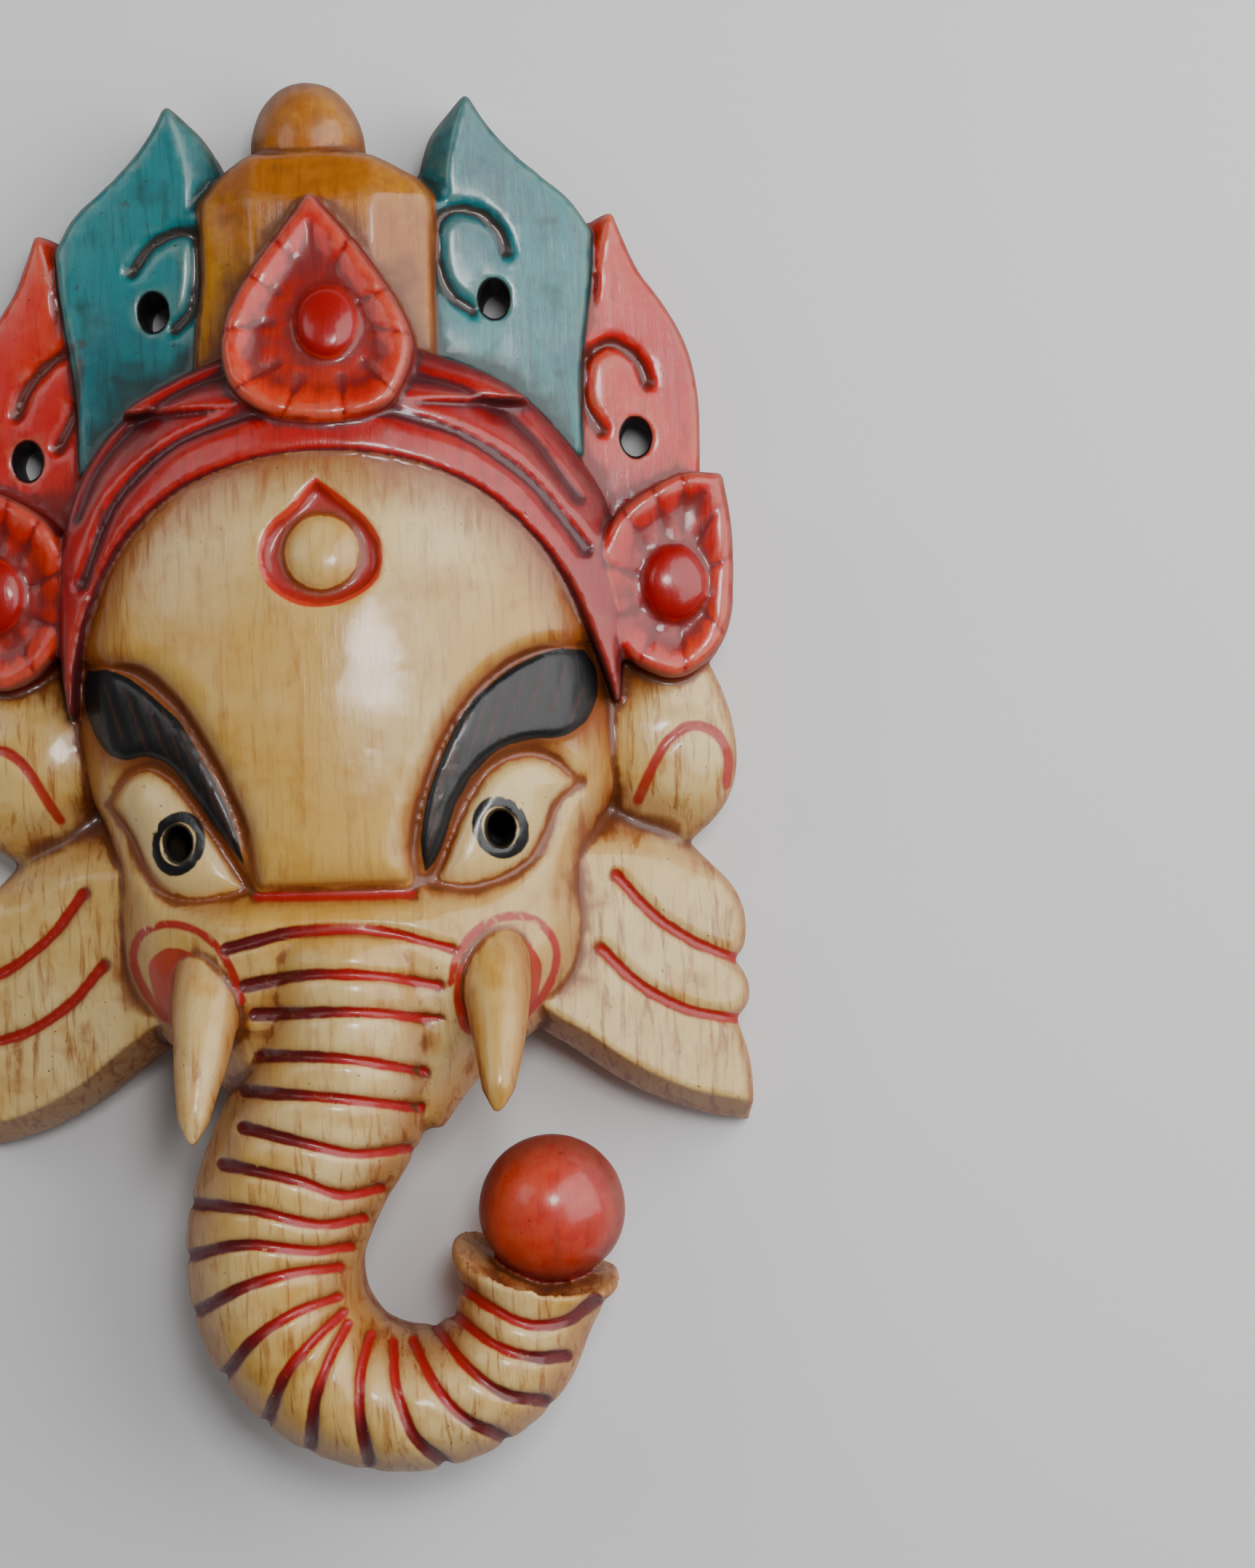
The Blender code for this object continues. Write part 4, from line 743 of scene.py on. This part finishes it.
# places evened out over their neighbours, for smoothing and to find dents
def evened(mesh, places, rounds, amount=1.0):
    pairs = np.empty(2 * len(mesh.edges), dtype=np.int32)
    mesh.edges.foreach_get("vertices", pairs)
    first, second = pairs[0::2], pairs[1::2]
    count = np.maximum(np.bincount(pairs, minlength=len(places)), 1)
    for _ in range(rounds):
        total = np.stack([np.bincount(first, weights=places[second, axis], minlength=len(places))
                          + np.bincount(second, weights=places[first, axis], minlength=len(places))
                          for axis in range(3)], axis=1)
        places = places + amount * (total / count[:, None] - places)
    return places


# where a place seems to lie, seen from the eye, on the level that the painted lines were laid out on
def onLevel(places, level):
    eye = np.array(view["eye"])
    return eye[:2] + (places[:, :2] - eye[:2]) * ((eye[2] - level) / (eye[2] - places[:, 2]))[:, None]


def handWork(places, normals, coarse, fine):
    push = np.array([coarse[1] * noise.noise(Vector(place / coarse[0]))
                     + fine[1] * noise.noise(Vector(place / fine[0])) for place in places])
    return places + normals * push[:, None]


print("carving the forms")
makeForms()

print("joining them into one piece of wood")
wood = bmesh.new()
for form, _ in pieces.values():
    wood.from_mesh(form)
mask = placed("carvedMask", wood)
mesh = applied(mask, ("REMESH", {"mode": "VOXEL", "voxel_size": carving["voxel"], "adaptivity": 0.0}))
withoutBubbles(mesh)
places = evened(mesh, readPlaces(mesh), 3, 0.5)
writePlaces(mesh, places)
print("cutting the trunk's stripes and the hand marks", len(places))
normals = readNormals(mesh)
onTrunk = np.zeros(len(places))
trunkTree = pieces["trunk"][1]
x, y, z = places.T
for index in np.flatnonzero((y < trunkSizes["rootTop"]) & (np.abs(x) < trunkSizes["rootSide"])
                            & (z > trunkSizes["rootLow"])):
    hit = trunkTree.find_nearest(Vector(places[index]), trunkSizes["edge"][1])
    onTrunk[index] = 0.0 if hit[0] is None else 1.0 - min(1.0, max(0.0, hit[3] - trunkSizes["edge"][0]))
muzzleLow, muzzleHigh, muzzleHalf, muzzleLevel = trunkSizes["muzzle"]
onTrunk[(y > muzzleLow) & (y < muzzleHigh) & (np.abs(x) < muzzleHalf) & (z > muzzleLevel)] = 1.0
stripeGap = nearestGap(onLevel(places, lineLevel), stripes)
depth = trunkSizes["stripeDepth"] * np.exp(-(stripeGap / trunkSizes["stripeWidth"]) ** 2)
depth -= trunkSizes["roll"] * np.exp(-((stripeGap - trunkSizes["rollAt"]) / trunkSizes["rollWidth"]) ** 2)
places = places - normals * (depth * onTrunk * np.clip(normals[:, 2] + 0.9, 0.0, 1.0))[:, None]
places = handWork(places, normals, handMarks["coarse"], handMarks["fine"])
writePlaces(mesh, places)

places = hollowedOut(places)
writePlaces(mesh, places)
mesh.calc_loop_triangles()
print("thinning from", len(mesh.loop_triangles))
mesh = applied(mask, ("DECIMATE", {"ratio": min(1.0, carving["triangles"] / len(mesh.loop_triangles)),
                                   "use_collapse_triangulate": True}))
places = readPlaces(mesh)
places[places[:, 2] < handMarks["backSnap"], 2] = 0.0
writePlaces(mesh, places)
mesh.shade_smooth()
normals = readNormals(mesh)
print("vertices", len(places), flush=True)


# Where each paint goes: how far inside its own form every place lies, in units
groups = {zone: ("right" + form, "left" + form) for zone, form in (
    ("teal", "TealLeaf"), ("coral", "RedLeaf"), ("rosette", "Rosette"), ("tusk", "Tusk"), ("ear", "Ear"))}
groups.update({form: (form,) for form in ("band", "jewel", "pot", "knob", "ball", "trunk", "face")})
reach = 4.0
gaps = {}
for group, members in groups.items():
    gap = np.full(len(places), reach)
    for member in members:
        corners = readPlaces(pieces[member][0])
        inBox = ((places > corners.min(axis=0) - reach) & (places < corners.max(axis=0) + reach)).all(axis=1)
        tree = pieces[member][1]
        for index in np.flatnonzero(inBox):
            hit = tree.find_nearest(Vector(places[index]), reach)
            if hit[0] is not None:
                gap[index] = min(gap[index], hit[3])
    gaps[group] = gap
shades = {}
for group in groups:
    others = np.min([gaps[other] for other in groups if other != group], axis=0)
    shades[group] = others - gaps[group]
spots = places[:, :2]
inHollow = (depthIn(spots, hollowRim) > -0.7) & (places[:, 2] < ceiling(spots) + 1.0)
shades["bare"] = np.where(inHollow | (places[:, 2] < 0.3), 1.0, 0.0) - 0.5
holes = [(centre, 0.5 * boreSizes["pupil"] / unit) for centre in eyeSizes["pupils"]]
holes += [(np.multiply(leafSizes[kind + "Hole"], (side, 1.0)), 0.5 * boreSizes["leaf"] / unit)
          for kind in ("teal", "red") for side in (1, -1)]
shades["bore"] = np.min([fromBore(spots, *hole) for hole in holes], axis=0)
seen = onLevel(places, lineLevel)
stripeGaps = [gapTo(seen, stripe) for stripe in stripes]
nearest = np.argmin([gap for gap, _ in stripeGaps], axis=0)
rows = np.arange(len(places))
shades["stripe"] = np.array([gap for gap, _ in stripeGaps])[nearest, rows]
shades["stripeShare"] = np.array([share for _, share in stripeGaps])[nearest, rows]
shades["ring"] = nearestGap(seen, tuskRings)
shades["mouth"] = deepestIn(seen, mouths)
shades["brow"] = deepestIn(spots, brows)
shades["browCut"] = nearestGap(spots, browCuts)
shades["eye"] = deepestIn(spots, eyes)
pupil = np.full(len(places), 9.0)
for centre, (wide, tall), lean in pupilRings:
    away = spots - centre
    x = away[:, 0] * math.cos(lean) - away[:, 1] * math.sin(lean)
    y = away[:, 0] * math.sin(lean) + away[:, 1] * math.cos(lean)
    pupil = np.minimum(pupil, np.abs(np.hypot(x / wide, y / tall) - 1.0) * wide)
shades["pupil"] = pupil
shades["tilak"] = depthIn(spots, tilakRim)
button = np.linalg.norm(spots - tilakSizes["button"], axis=1)
shades["tilakButton"] = tilakSizes["buttonSize"] - button
buttons, petals = [jewelSizes["button"]], list(jewelCuts)
for side in (1, -1):
    shift = shiftOf(rosetteSizes, side)
    buttons.append(np.multiply(rosetteSizes["button"], (side, 1.0)) + shift)
    petals += [turned(cut, side, shift) for cut in rosetteCuts]
oval = (1.0, jewelSizes["buttonTall"])
shades["button"] = np.max([jewelSizes["buttonSize"] - np.linalg.norm((spots - centre) / oval, axis=1)
                           for centre in buttons], axis=0)
shades["petalCut"] = nearestGap(spots, petals)
shades["bandCut"] = nearestGap(spots, bandGrooves + [bandEdge])
leftSpots = (spots - earSizes["leftShift"]) * (-1, 1)
for name, cuts in (("earCut", earLines + [earHook]), ("earFold", [earFold])):
    shades[name] = np.minimum(nearestGap(spots, cuts), nearestGap(leftSpots, cuts))
scrolls = [cut for own in scrollCurves.values() for cuts in own.values() for cut in cuts]
shades["scroll"] = nearestGap(spots, scrolls)
shades["muzzle"] = np.minimum(places[:, 2] - muzzleLevel, spots[:, 1] - muzzleLow)
shades["bar"] = gapTo(spots, bar)[0]
shades["eyeEdge"] = np.abs(shades["eye"] + eyeSizes["edge"])
shades["facing"] = normals[:, 2]
shades["bandEdge"] = gapTo(spots, bandEdge, reach=16.0)[0]
shades["browNear"] = -shades["brow"]
shades["headDepth"] = np.clip(depthIn(spots, headRim), -2.0, 20.0)
for name, rounds in (("dent", 5), ("hollowness", 60)):
    away = evened(mesh, places, rounds, 0.7) - places
    shades[name] = (away * normals).sum(axis=1)
for name, values in shades.items():
    own = mesh.attributes.new(name, "FLOAT", "POINT")
    own.data.foreach_set("value", np.asarray(values, dtype=np.float32))
print("dent", np.percentile(shades["dent"], [2, 25, 50, 75, 98]).round(3),
      "hollowness", np.percentile(shades["hollowness"], [2, 25, 50, 75, 98]).round(3))

places = (places - (*carving["middle"], 0.0)) * unit
places = np.clip(places, np.array(cadBox[0]), np.array(cadBox[1]))
writePlaces(mesh, places)


# Shader maths as sums on sockets
class Wire:
    def __init__(self, desk, socket):
        self.desk, self.socket = desk, socket

    def joinedTo(self, operation, other, swapped=False):
        pair = (other, self) if swapped else (self, other)
        return self.desk.node("ShaderNodeMath", {"operation": operation}, dict(enumerate(pair)))

    def __add__(self, other): return self.joinedTo("ADD", other)
    def __radd__(self, other): return self.joinedTo("ADD", other, True)
    def __sub__(self, other): return self.joinedTo("SUBTRACT", other)
    def __rsub__(self, other): return self.joinedTo("SUBTRACT", other, True)
    def __mul__(self, other): return self.joinedTo("MULTIPLY", other)
    def __rmul__(self, other): return self.joinedTo("MULTIPLY", other, True)


class Desk:
    def __init__(self, name):
        self.material = bpy.data.materials.new(name)
        self.material.use_nodes = True
        self.tree = self.material.node_tree
        self.tree.nodes.clear()

    # any node from its type, its settings and what goes into its sockets
    def node(self, kind, settings=None, inputs=None, out=0):
        made = self.tree.nodes.new(kind)
        for name, value in (settings or {}).items():
            setattr(made, name, value)
        for name, value in (inputs or {}).items():
            if isinstance(value, Wire):
                self.tree.links.new(value.socket, made.inputs[name])
            else:
                made.inputs[name].default_value = value
        return Wire(self, made.outputs[out]) if len(made.outputs) else None

    def shade(self, name):
        return self.node("ShaderNodeAttribute", {"attribute_name": name}, out="Fac")

    # 0 below the first value and 1 above the second
    def step(self, value, low, high):
        return self.node("ShaderNodeMapRange", {"interpolation_type": "SMOOTHSTEP"},
                         {"Value": value, "From Min": low, "From Max": high})

    def noise(self, scale, detail=2.0, roughness=0.5, stretch=(1.0, 1.0, 1.0), shift=0.0, distortion=0.0):
        place = self.node("ShaderNodeMapping", {}, {"Vector": self.place, "Scale": stretch,
                                                    "Location": (shift, shift, shift)})
        return self.node("ShaderNodeTexNoise", {}, {"Vector": place, "Scale": scale, "Detail": detail,
                                                    "Roughness": roughness, "Distortion": distortion})

    def mix(self, share, first, second, blend="MIX"):
        made = self.tree.nodes.new("ShaderNodeMix")
        made.data_type, made.blend_type, made.clamp_factor = "RGBA", blend, True
        for socket, value in ((made.inputs[0], share), (made.inputs[6], first), (made.inputs[7], second)):
            if isinstance(value, Wire):
                self.tree.links.new(value.socket, socket)
            else:
                socket.default_value = value
        return Wire(self, made.outputs[2])


# a paint in linear light from its red, green and blue, made richer or deeper
def colour(red, green, blue, rich=1.0, deep=1.0):
    plain = [(c / 255 / 12.92) if c / 255 <= 0.04045 else ((c / 255 + 0.055) / 1.055) ** 2.4
             for c in (red, green, blue)]
    grey = 0.2126 * plain[0] + 0.7152 * plain[1] + 0.0722 * plain[2]
    return tuple(max(0.001, deep * (grey + rich * (c - grey))) for c in plain) + (1.0,)


# The brown wash paints also carry painted shade in dents and on turned-away sides; the dark copies of the
# coated paints carry their painted shade; the dust paint is rubbed wear and a painted highlight on edges
paints = {"cream": (206, 170, 112), "creamLight": (228, 203, 156), "creamDeep": (180, 130, 68),
    "brownWashAndShade": (134, 72, 14), "deepWashAndShade": (60, 28, 8), "teal": (0, 96, 104), "tealDark": (8, 34, 30),
    "tealLight": (0, 124, 128),
    "coral": (188, 56, 28), "coralLight": (206, 78, 44), "coralDark": (104, 30, 14), "band": (150, 10, 18),
    "bandDark": (64, 10, 20), "bandLight": (170, 20, 26), "jewel": (186, 58, 12), "jewelDark": (100, 24, 8),
    "jewelLight": (206, 82, 26), "button": (150, 8, 22), "ochre": (166, 106, 22), "ochreDark": (98, 54, 10),
    "ochreLight": (200, 146, 16), "ball": (182, 50, 18), "ballDark": (98, 22, 10),
    "ballLight": (204, 78, 40),
    "black": (14, 13, 14), "stripe": (156, 16, 20), "stripeDark": (58, 10, 14), "mouth": (204, 70, 42),
    "wood": (178, 132, 84), "woodDark": (122, 82, 46), "dustAndHighlight": (190, 176, 150)}
creams = ("cream", "creamLight", "creamDeep", "brownWashAndShade", "deepWashAndShade", "wood", "woodDark", "dustAndHighlight")
paint = {name: colour(*value, rich=1.28 if name in creams else 1.4, deep=1.0 if name in creams else 0.92)
         for name, value in paints.items()}

print("painting")
desk = Desk("paintedWood")
desk.place = desk.node("ShaderNodeTexCoord", out="Object")
dent, hollowness = desk.shade("dent"), desk.shade("hollowness")
broad = desk.noise(28, 3, 0.55)
middling = desk.noise(110, 3, 0.6, shift=3.0)
fine = desk.noise(420, 3, 0.6, shift=7.0)
speck = desk.noise(900, 2, 0.5, shift=11.0)
streak = desk.noise(100, 5, 0.66, stretch=(6.5, 0.75, 1.6), shift=5.0, distortion=0.6)
wobble = (desk.noise(260, 2, 0.5, shift=13.0) - 0.5) * 1.1


# 1 inside a painted form, with a hand-painted edge
def inside(name, offset=0.0, soft=0.22):
    return desk.step(desk.shade(name) + wobble * 0.45, offset - soft, offset + soft)


# 1 near a painted line
def line(name, half, soft=0.3):
    return 1.0 - desk.step(desk.shade(name) + wobble * 0.5, half - soft, half + soft)


# cream ground with a brown wash brushed down the wood, and painted shade in the dents and hollows, on the
# sides that turn away, near the band and brows and in the ear's fold
cavity = desk.step(dent + (fine - 0.5) * 0.08, -0.02, 0.09)
deepCavity = desk.step(hollowness + (middling - 0.5) * 0.9 + (streak - 0.5) * 1.2, -0.35, 1.0)
# convex edges: rubbed paint and a painted highlight
wornAndHighlit = desk.step(dent * -1.0 + (fine - 0.5) * 0.08, 0.05, 0.16)
brushed = desk.step(streak, 0.47, 0.70)
rimShade = 1.0 - desk.step(desk.shade("headDepth") + (middling - 0.5) * 6.0, 0.0, 9.0)
bandShade = 1.0 - desk.step(desk.shade("bandEdge") + (streak - 0.5) * 18.0, 0.0, 11.0)
browShade = 1.0 - desk.step(desk.shade("browNear") + (streak - 0.5) * 6.0, 0.2, 5.0)
sideShade = 1.0 - desk.step(desk.shade("facing") + (middling - 0.5) * 0.45 + (streak - 0.5) * 0.5, 0.34, 0.92)
ground = desk.mix(desk.step(broad, 0.35, 0.65), paint["cream"], paint["creamLight"])
faceOnly = inside("face", 0.0, 0.6)
for share, name in (
        (desk.step(middling, 0.46, 0.72) * 0.5, "creamDeep"),
        (brushed * (0.34 + rimShade * 0.4), "brownWashAndShade"),
        (bandShade * faceOnly * 0.88, "brownWashAndShade"),
        (browShade * faceOnly * 0.8, "brownWashAndShade"),
        (sideShade * (0.62 + brushed * 0.3), "brownWashAndShade"),
        (deepCavity * 0.92, "brownWashAndShade"),
        (cavity * 0.75, "brownWashAndShade"),
        (cavity * deepCavity * 0.6, "deepWashAndShade"),
        (line("bar", 0.85) * inside("face") * 0.9, "stripe"),
        (line("earCut", 0.95) * inside("ear") * 0.92, "stripe"),
        (line("earFold", 1.6, 1.2) * inside("ear") * 0.5, "deepWashAndShade")):
    ground = desk.mix(share, ground, paint[name])

# mouth and tusk rings
clear = (1.0 - inside("tusk")) * (1.0 - inside("trunk"))
mouthColour = desk.mix(middling, paint["mouth"], paint["coralDark"])
ground = desk.mix(inside("mouth") * clear * 0.9, ground, mouthColour)
ground = desk.mix(line("ring", 0.75) * clear * 0.95, ground, paint["stripe"])

# trunk stripes: dark at the left end, red and thin at the right
stripeDark = 1.0 - desk.step(desk.shade("stripeShare") + (middling - 0.5) * 0.5, 0.2, 0.65)
stripeColour = desk.mix(stripeDark * 0.8, paint["stripe"], paint["stripeDark"])
stripeHalf = 1.2 - desk.shade("stripeShare") * 0.45
stripe = 1.0 - desk.step(desk.shade("stripe") - stripeHalf + wobble * 0.6, -0.25, 0.3)
striped = 1.0 - (1.0 - inside("trunk")) * (1.0 - inside("muzzle") * inside("face"))
ground = desk.mix(stripe * striped * desk.step(fine, 0.22, 0.36), ground, stripeColour)

# tilak, eyes and brows
dropRing = inside("tilak", -0.5) * (1.0 - inside("tilakButton", 0.2))
# the ring turns brown next to the raised button and darker in its dents: painted shade in the recess
ringTone = desk.mix(desk.step(desk.shade("tilakButton"), -1.9, -0.4), paint["coral"], paint["brownWashAndShade"])
ground = desk.mix(dropRing * 0.9, ground, desk.mix(cavity * 0.5, ringTone, paint["coralDark"]))
# a brown line of painted shade in the lid crease around each eye
for share, name in ((line("eyeEdge", 0.5, 0.5) * inside("face") * 0.6, "brownWashAndShade"),
                    (inside("eye", 0.9, 0.6) * 0.5, "creamLight"),
                    (line("pupil", 0.85, 0.2) * inside("eye", -1.0), "black")):
    ground = desk.mix(share, ground, paint[name])
brow = inside("brow", 0.1)
browColour = desk.mix(line("browCut", 0.3, 0.3) * 0.12, paint["black"], paint["brownWashAndShade"])
ground = desk.mix(brow, ground, browColour)


# one painted form: a body colour with brush streaks, painted shade in its dents and on its turned-away sides,
# and rubbed paint with a painted highlight on its edges
def coat(ground, zone, body, wear):
    dark = paint[body + "Dark"]
    tone = desk.mix(desk.step(broad + (fine - 0.5) * 0.3, 0.38, 0.66), paint[body], paint[body + "Light"])
    for share in (brushed * 0.35, deepCavity * 0.6, sideShade * 0.75, cavity * 0.75):
        tone = desk.mix(share, tone, dark)
    return desk.mix(inside(zone), ground, desk.mix(wornAndHighlit * wear, tone, paint["dustAndHighlight"]))


ground = coat(ground, "band", "band", 0.06)
# the band's grooves and lower edge painted darker: painted shade in the cuts
ground = desk.mix(line("bandCut", 0.8, 0.5) * inside("band") * 0.75, ground, paint["bandDark"])
for zone, body, wear in (("teal", "teal", 0.12), ("coral", "coral", 0.15), ("pot", "ochre", 0.08),
                         ("knob", "ochre", 0.08), ("jewel", "jewel", 0.12), ("rosette", "jewel", 0.12)):
    ground = coat(ground, zone, body, wear)
jewelled = inside("jewel") + inside("rosette")
leaves = inside("teal") + inside("coral")
# painted shade in the leaves' scroll grooves and the jewels' petal cuts, then the buttons' own red
for share, name in ((line("scroll", 0.9, 0.6) * leaves * 0.6, "deepWashAndShade"),
                    (line("petalCut", 0.3, 0.3) * jewelled * 0.7, "jewelDark"),
                    (inside("button", 0.1) * jewelled, "button")):
    ground = desk.mix(share, ground, paint[name])
ground = coat(ground, "ball", "ball", 0.1)

# pits, the drilled holes' insides painted black as painted shade, the darker foot of the walls next to the
# floor, and bare wood behind
pits = desk.step(speck, 0.70, 0.74) * desk.step(broad, 0.4, 0.6)
level = desk.node("ShaderNodeSeparateXYZ", {}, {"Vector": desk.place}, out="Z")
foot = 1.0 - desk.step(level + (fine - 0.5) * 0.004, 0.001, 0.007)
for share, name in ((pits * 0.7, "deepWashAndShade"),
                    ((1.0 - desk.step(desk.shade("bore"), 0.25, 0.6)) * 0.95, "black"),
                    (foot * 0.6, "deepWashAndShade")):
    ground = desk.mix(share, ground, paint[name])
grain = desk.noise(60, 5, 0.6, stretch=(9.0, 0.7, 9.0), shift=17.0, distortion=0.6)
bareWood = desk.mix(desk.step(grain, 0.35, 0.7), paint["wood"], paint["woodDark"])
bare = desk.step(desk.shade("bare") + wobble * 0.3, -0.1, 0.2)
ground = desk.mix(bare, ground, bareWood)

rough = 0.30 + (middling - 0.5) * 0.22 + cavity * 0.15 + bare * 0.35 + brow * 0.08 + sideShade * 0.25
bumpHeight = streak * 0.6 + fine * 0.3 + speck * 0.15
bump = desk.node("ShaderNodeBump", {}, {"Strength": 0.30, "Distance": 0.0004, "Height": bumpHeight})
varnish = (1.0 - bare) * (1.0 - sideShade * 0.85) * (1.0 - brow * 0.5) * 0.5
shader = desk.node("ShaderNodeBsdfPrincipled", {}, {"Base Color": ground, "Roughness": rough, "Normal": bump,
    "Coat Weight": varnish, "Coat Roughness": 0.14, "Coat IOR": 1.5, "IOR": 1.5})
desk.node("ShaderNodeOutputMaterial", {}, {"Surface": shader})
mesh.materials.clear()
mesh.materials.append(desk.material)
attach(mask, "root")
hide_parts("mask")


print("setting the floor, the lights and the camera")
stage = {"floor": 3.0, "floorColour": (236, 237, 239), "sky": 0.11,
    "lights": [((0.14, 0.15, 0.84), 0.17, 2.5), ((0.6, 0.2, 0.5), 0.9, 7.0), ((-0.75, 0.45, 0.80),
    0.6, 1.6)]}
shape = bmesh.new()
bmesh.ops.create_grid(shape, x_segments=1, y_segments=1, size=0.5 * stage["floor"])
floor = placed("floor", shape)
floorDesk = Desk("paleFloor")
floorDesk.place = floorDesk.node("ShaderNodeTexCoord", out="Object")
pale = colour(*stage["floorColour"])
tint = floorDesk.mix(floorDesk.noise(6, 3) * 0.08, pale, tuple(0.8 * c for c in pale[:3]) + (1.0,))
floorShader = floorDesk.node("ShaderNodeBsdfPrincipled", {}, {"Base Color": tint, "Roughness": 0.7})
floorDesk.node("ShaderNodeOutputMaterial", {}, {"Surface": floorShader})
floor.data.materials.append(floorDesk.material)
for index, (place, size, power) in enumerate(stage["lights"]):
    lamp = bpy.data.lights.new(f"softbox{index}", "AREA")
    lamp.size, lamp.energy = size, power
    holder = bpy.data.objects.new(f"softbox{index}", lamp)
    holder.location = place
    holder.rotation_euler = Vector(place).to_track_quat("Z", "Y").to_euler()
    bpy.context.scene.collection.objects.link(holder)
world = bpy.data.worlds.new("studio")
world.use_nodes = True
world.node_tree.nodes["Background"].inputs["Color"].default_value = (1.0, 1.0, 1.0, 1.0)
world.node_tree.nodes["Background"].inputs["Strength"].default_value = stage["sky"]
bpy.context.scene.world = world

lens = bpy.data.cameras.new("camera")
lens.lens, lens.sensor_width, lens.sensor_fit = view["lens"], 36.0, "AUTO"
camera = bpy.data.objects.new("camera", lens)
back = Vector((0.0, 0.0, 1.0))
up = Vector(view["up"]).normalized()
camera.matrix_world = (Matrix.Translation((Vector(view["eye"]) - Vector((*carving["middle"], 0.0))) * unit)
                       @ Matrix((up.cross(back), up, back)).transposed().to_4x4())
bpy.context.scene.collection.objects.link(camera)
bpy.context.scene.camera = camera
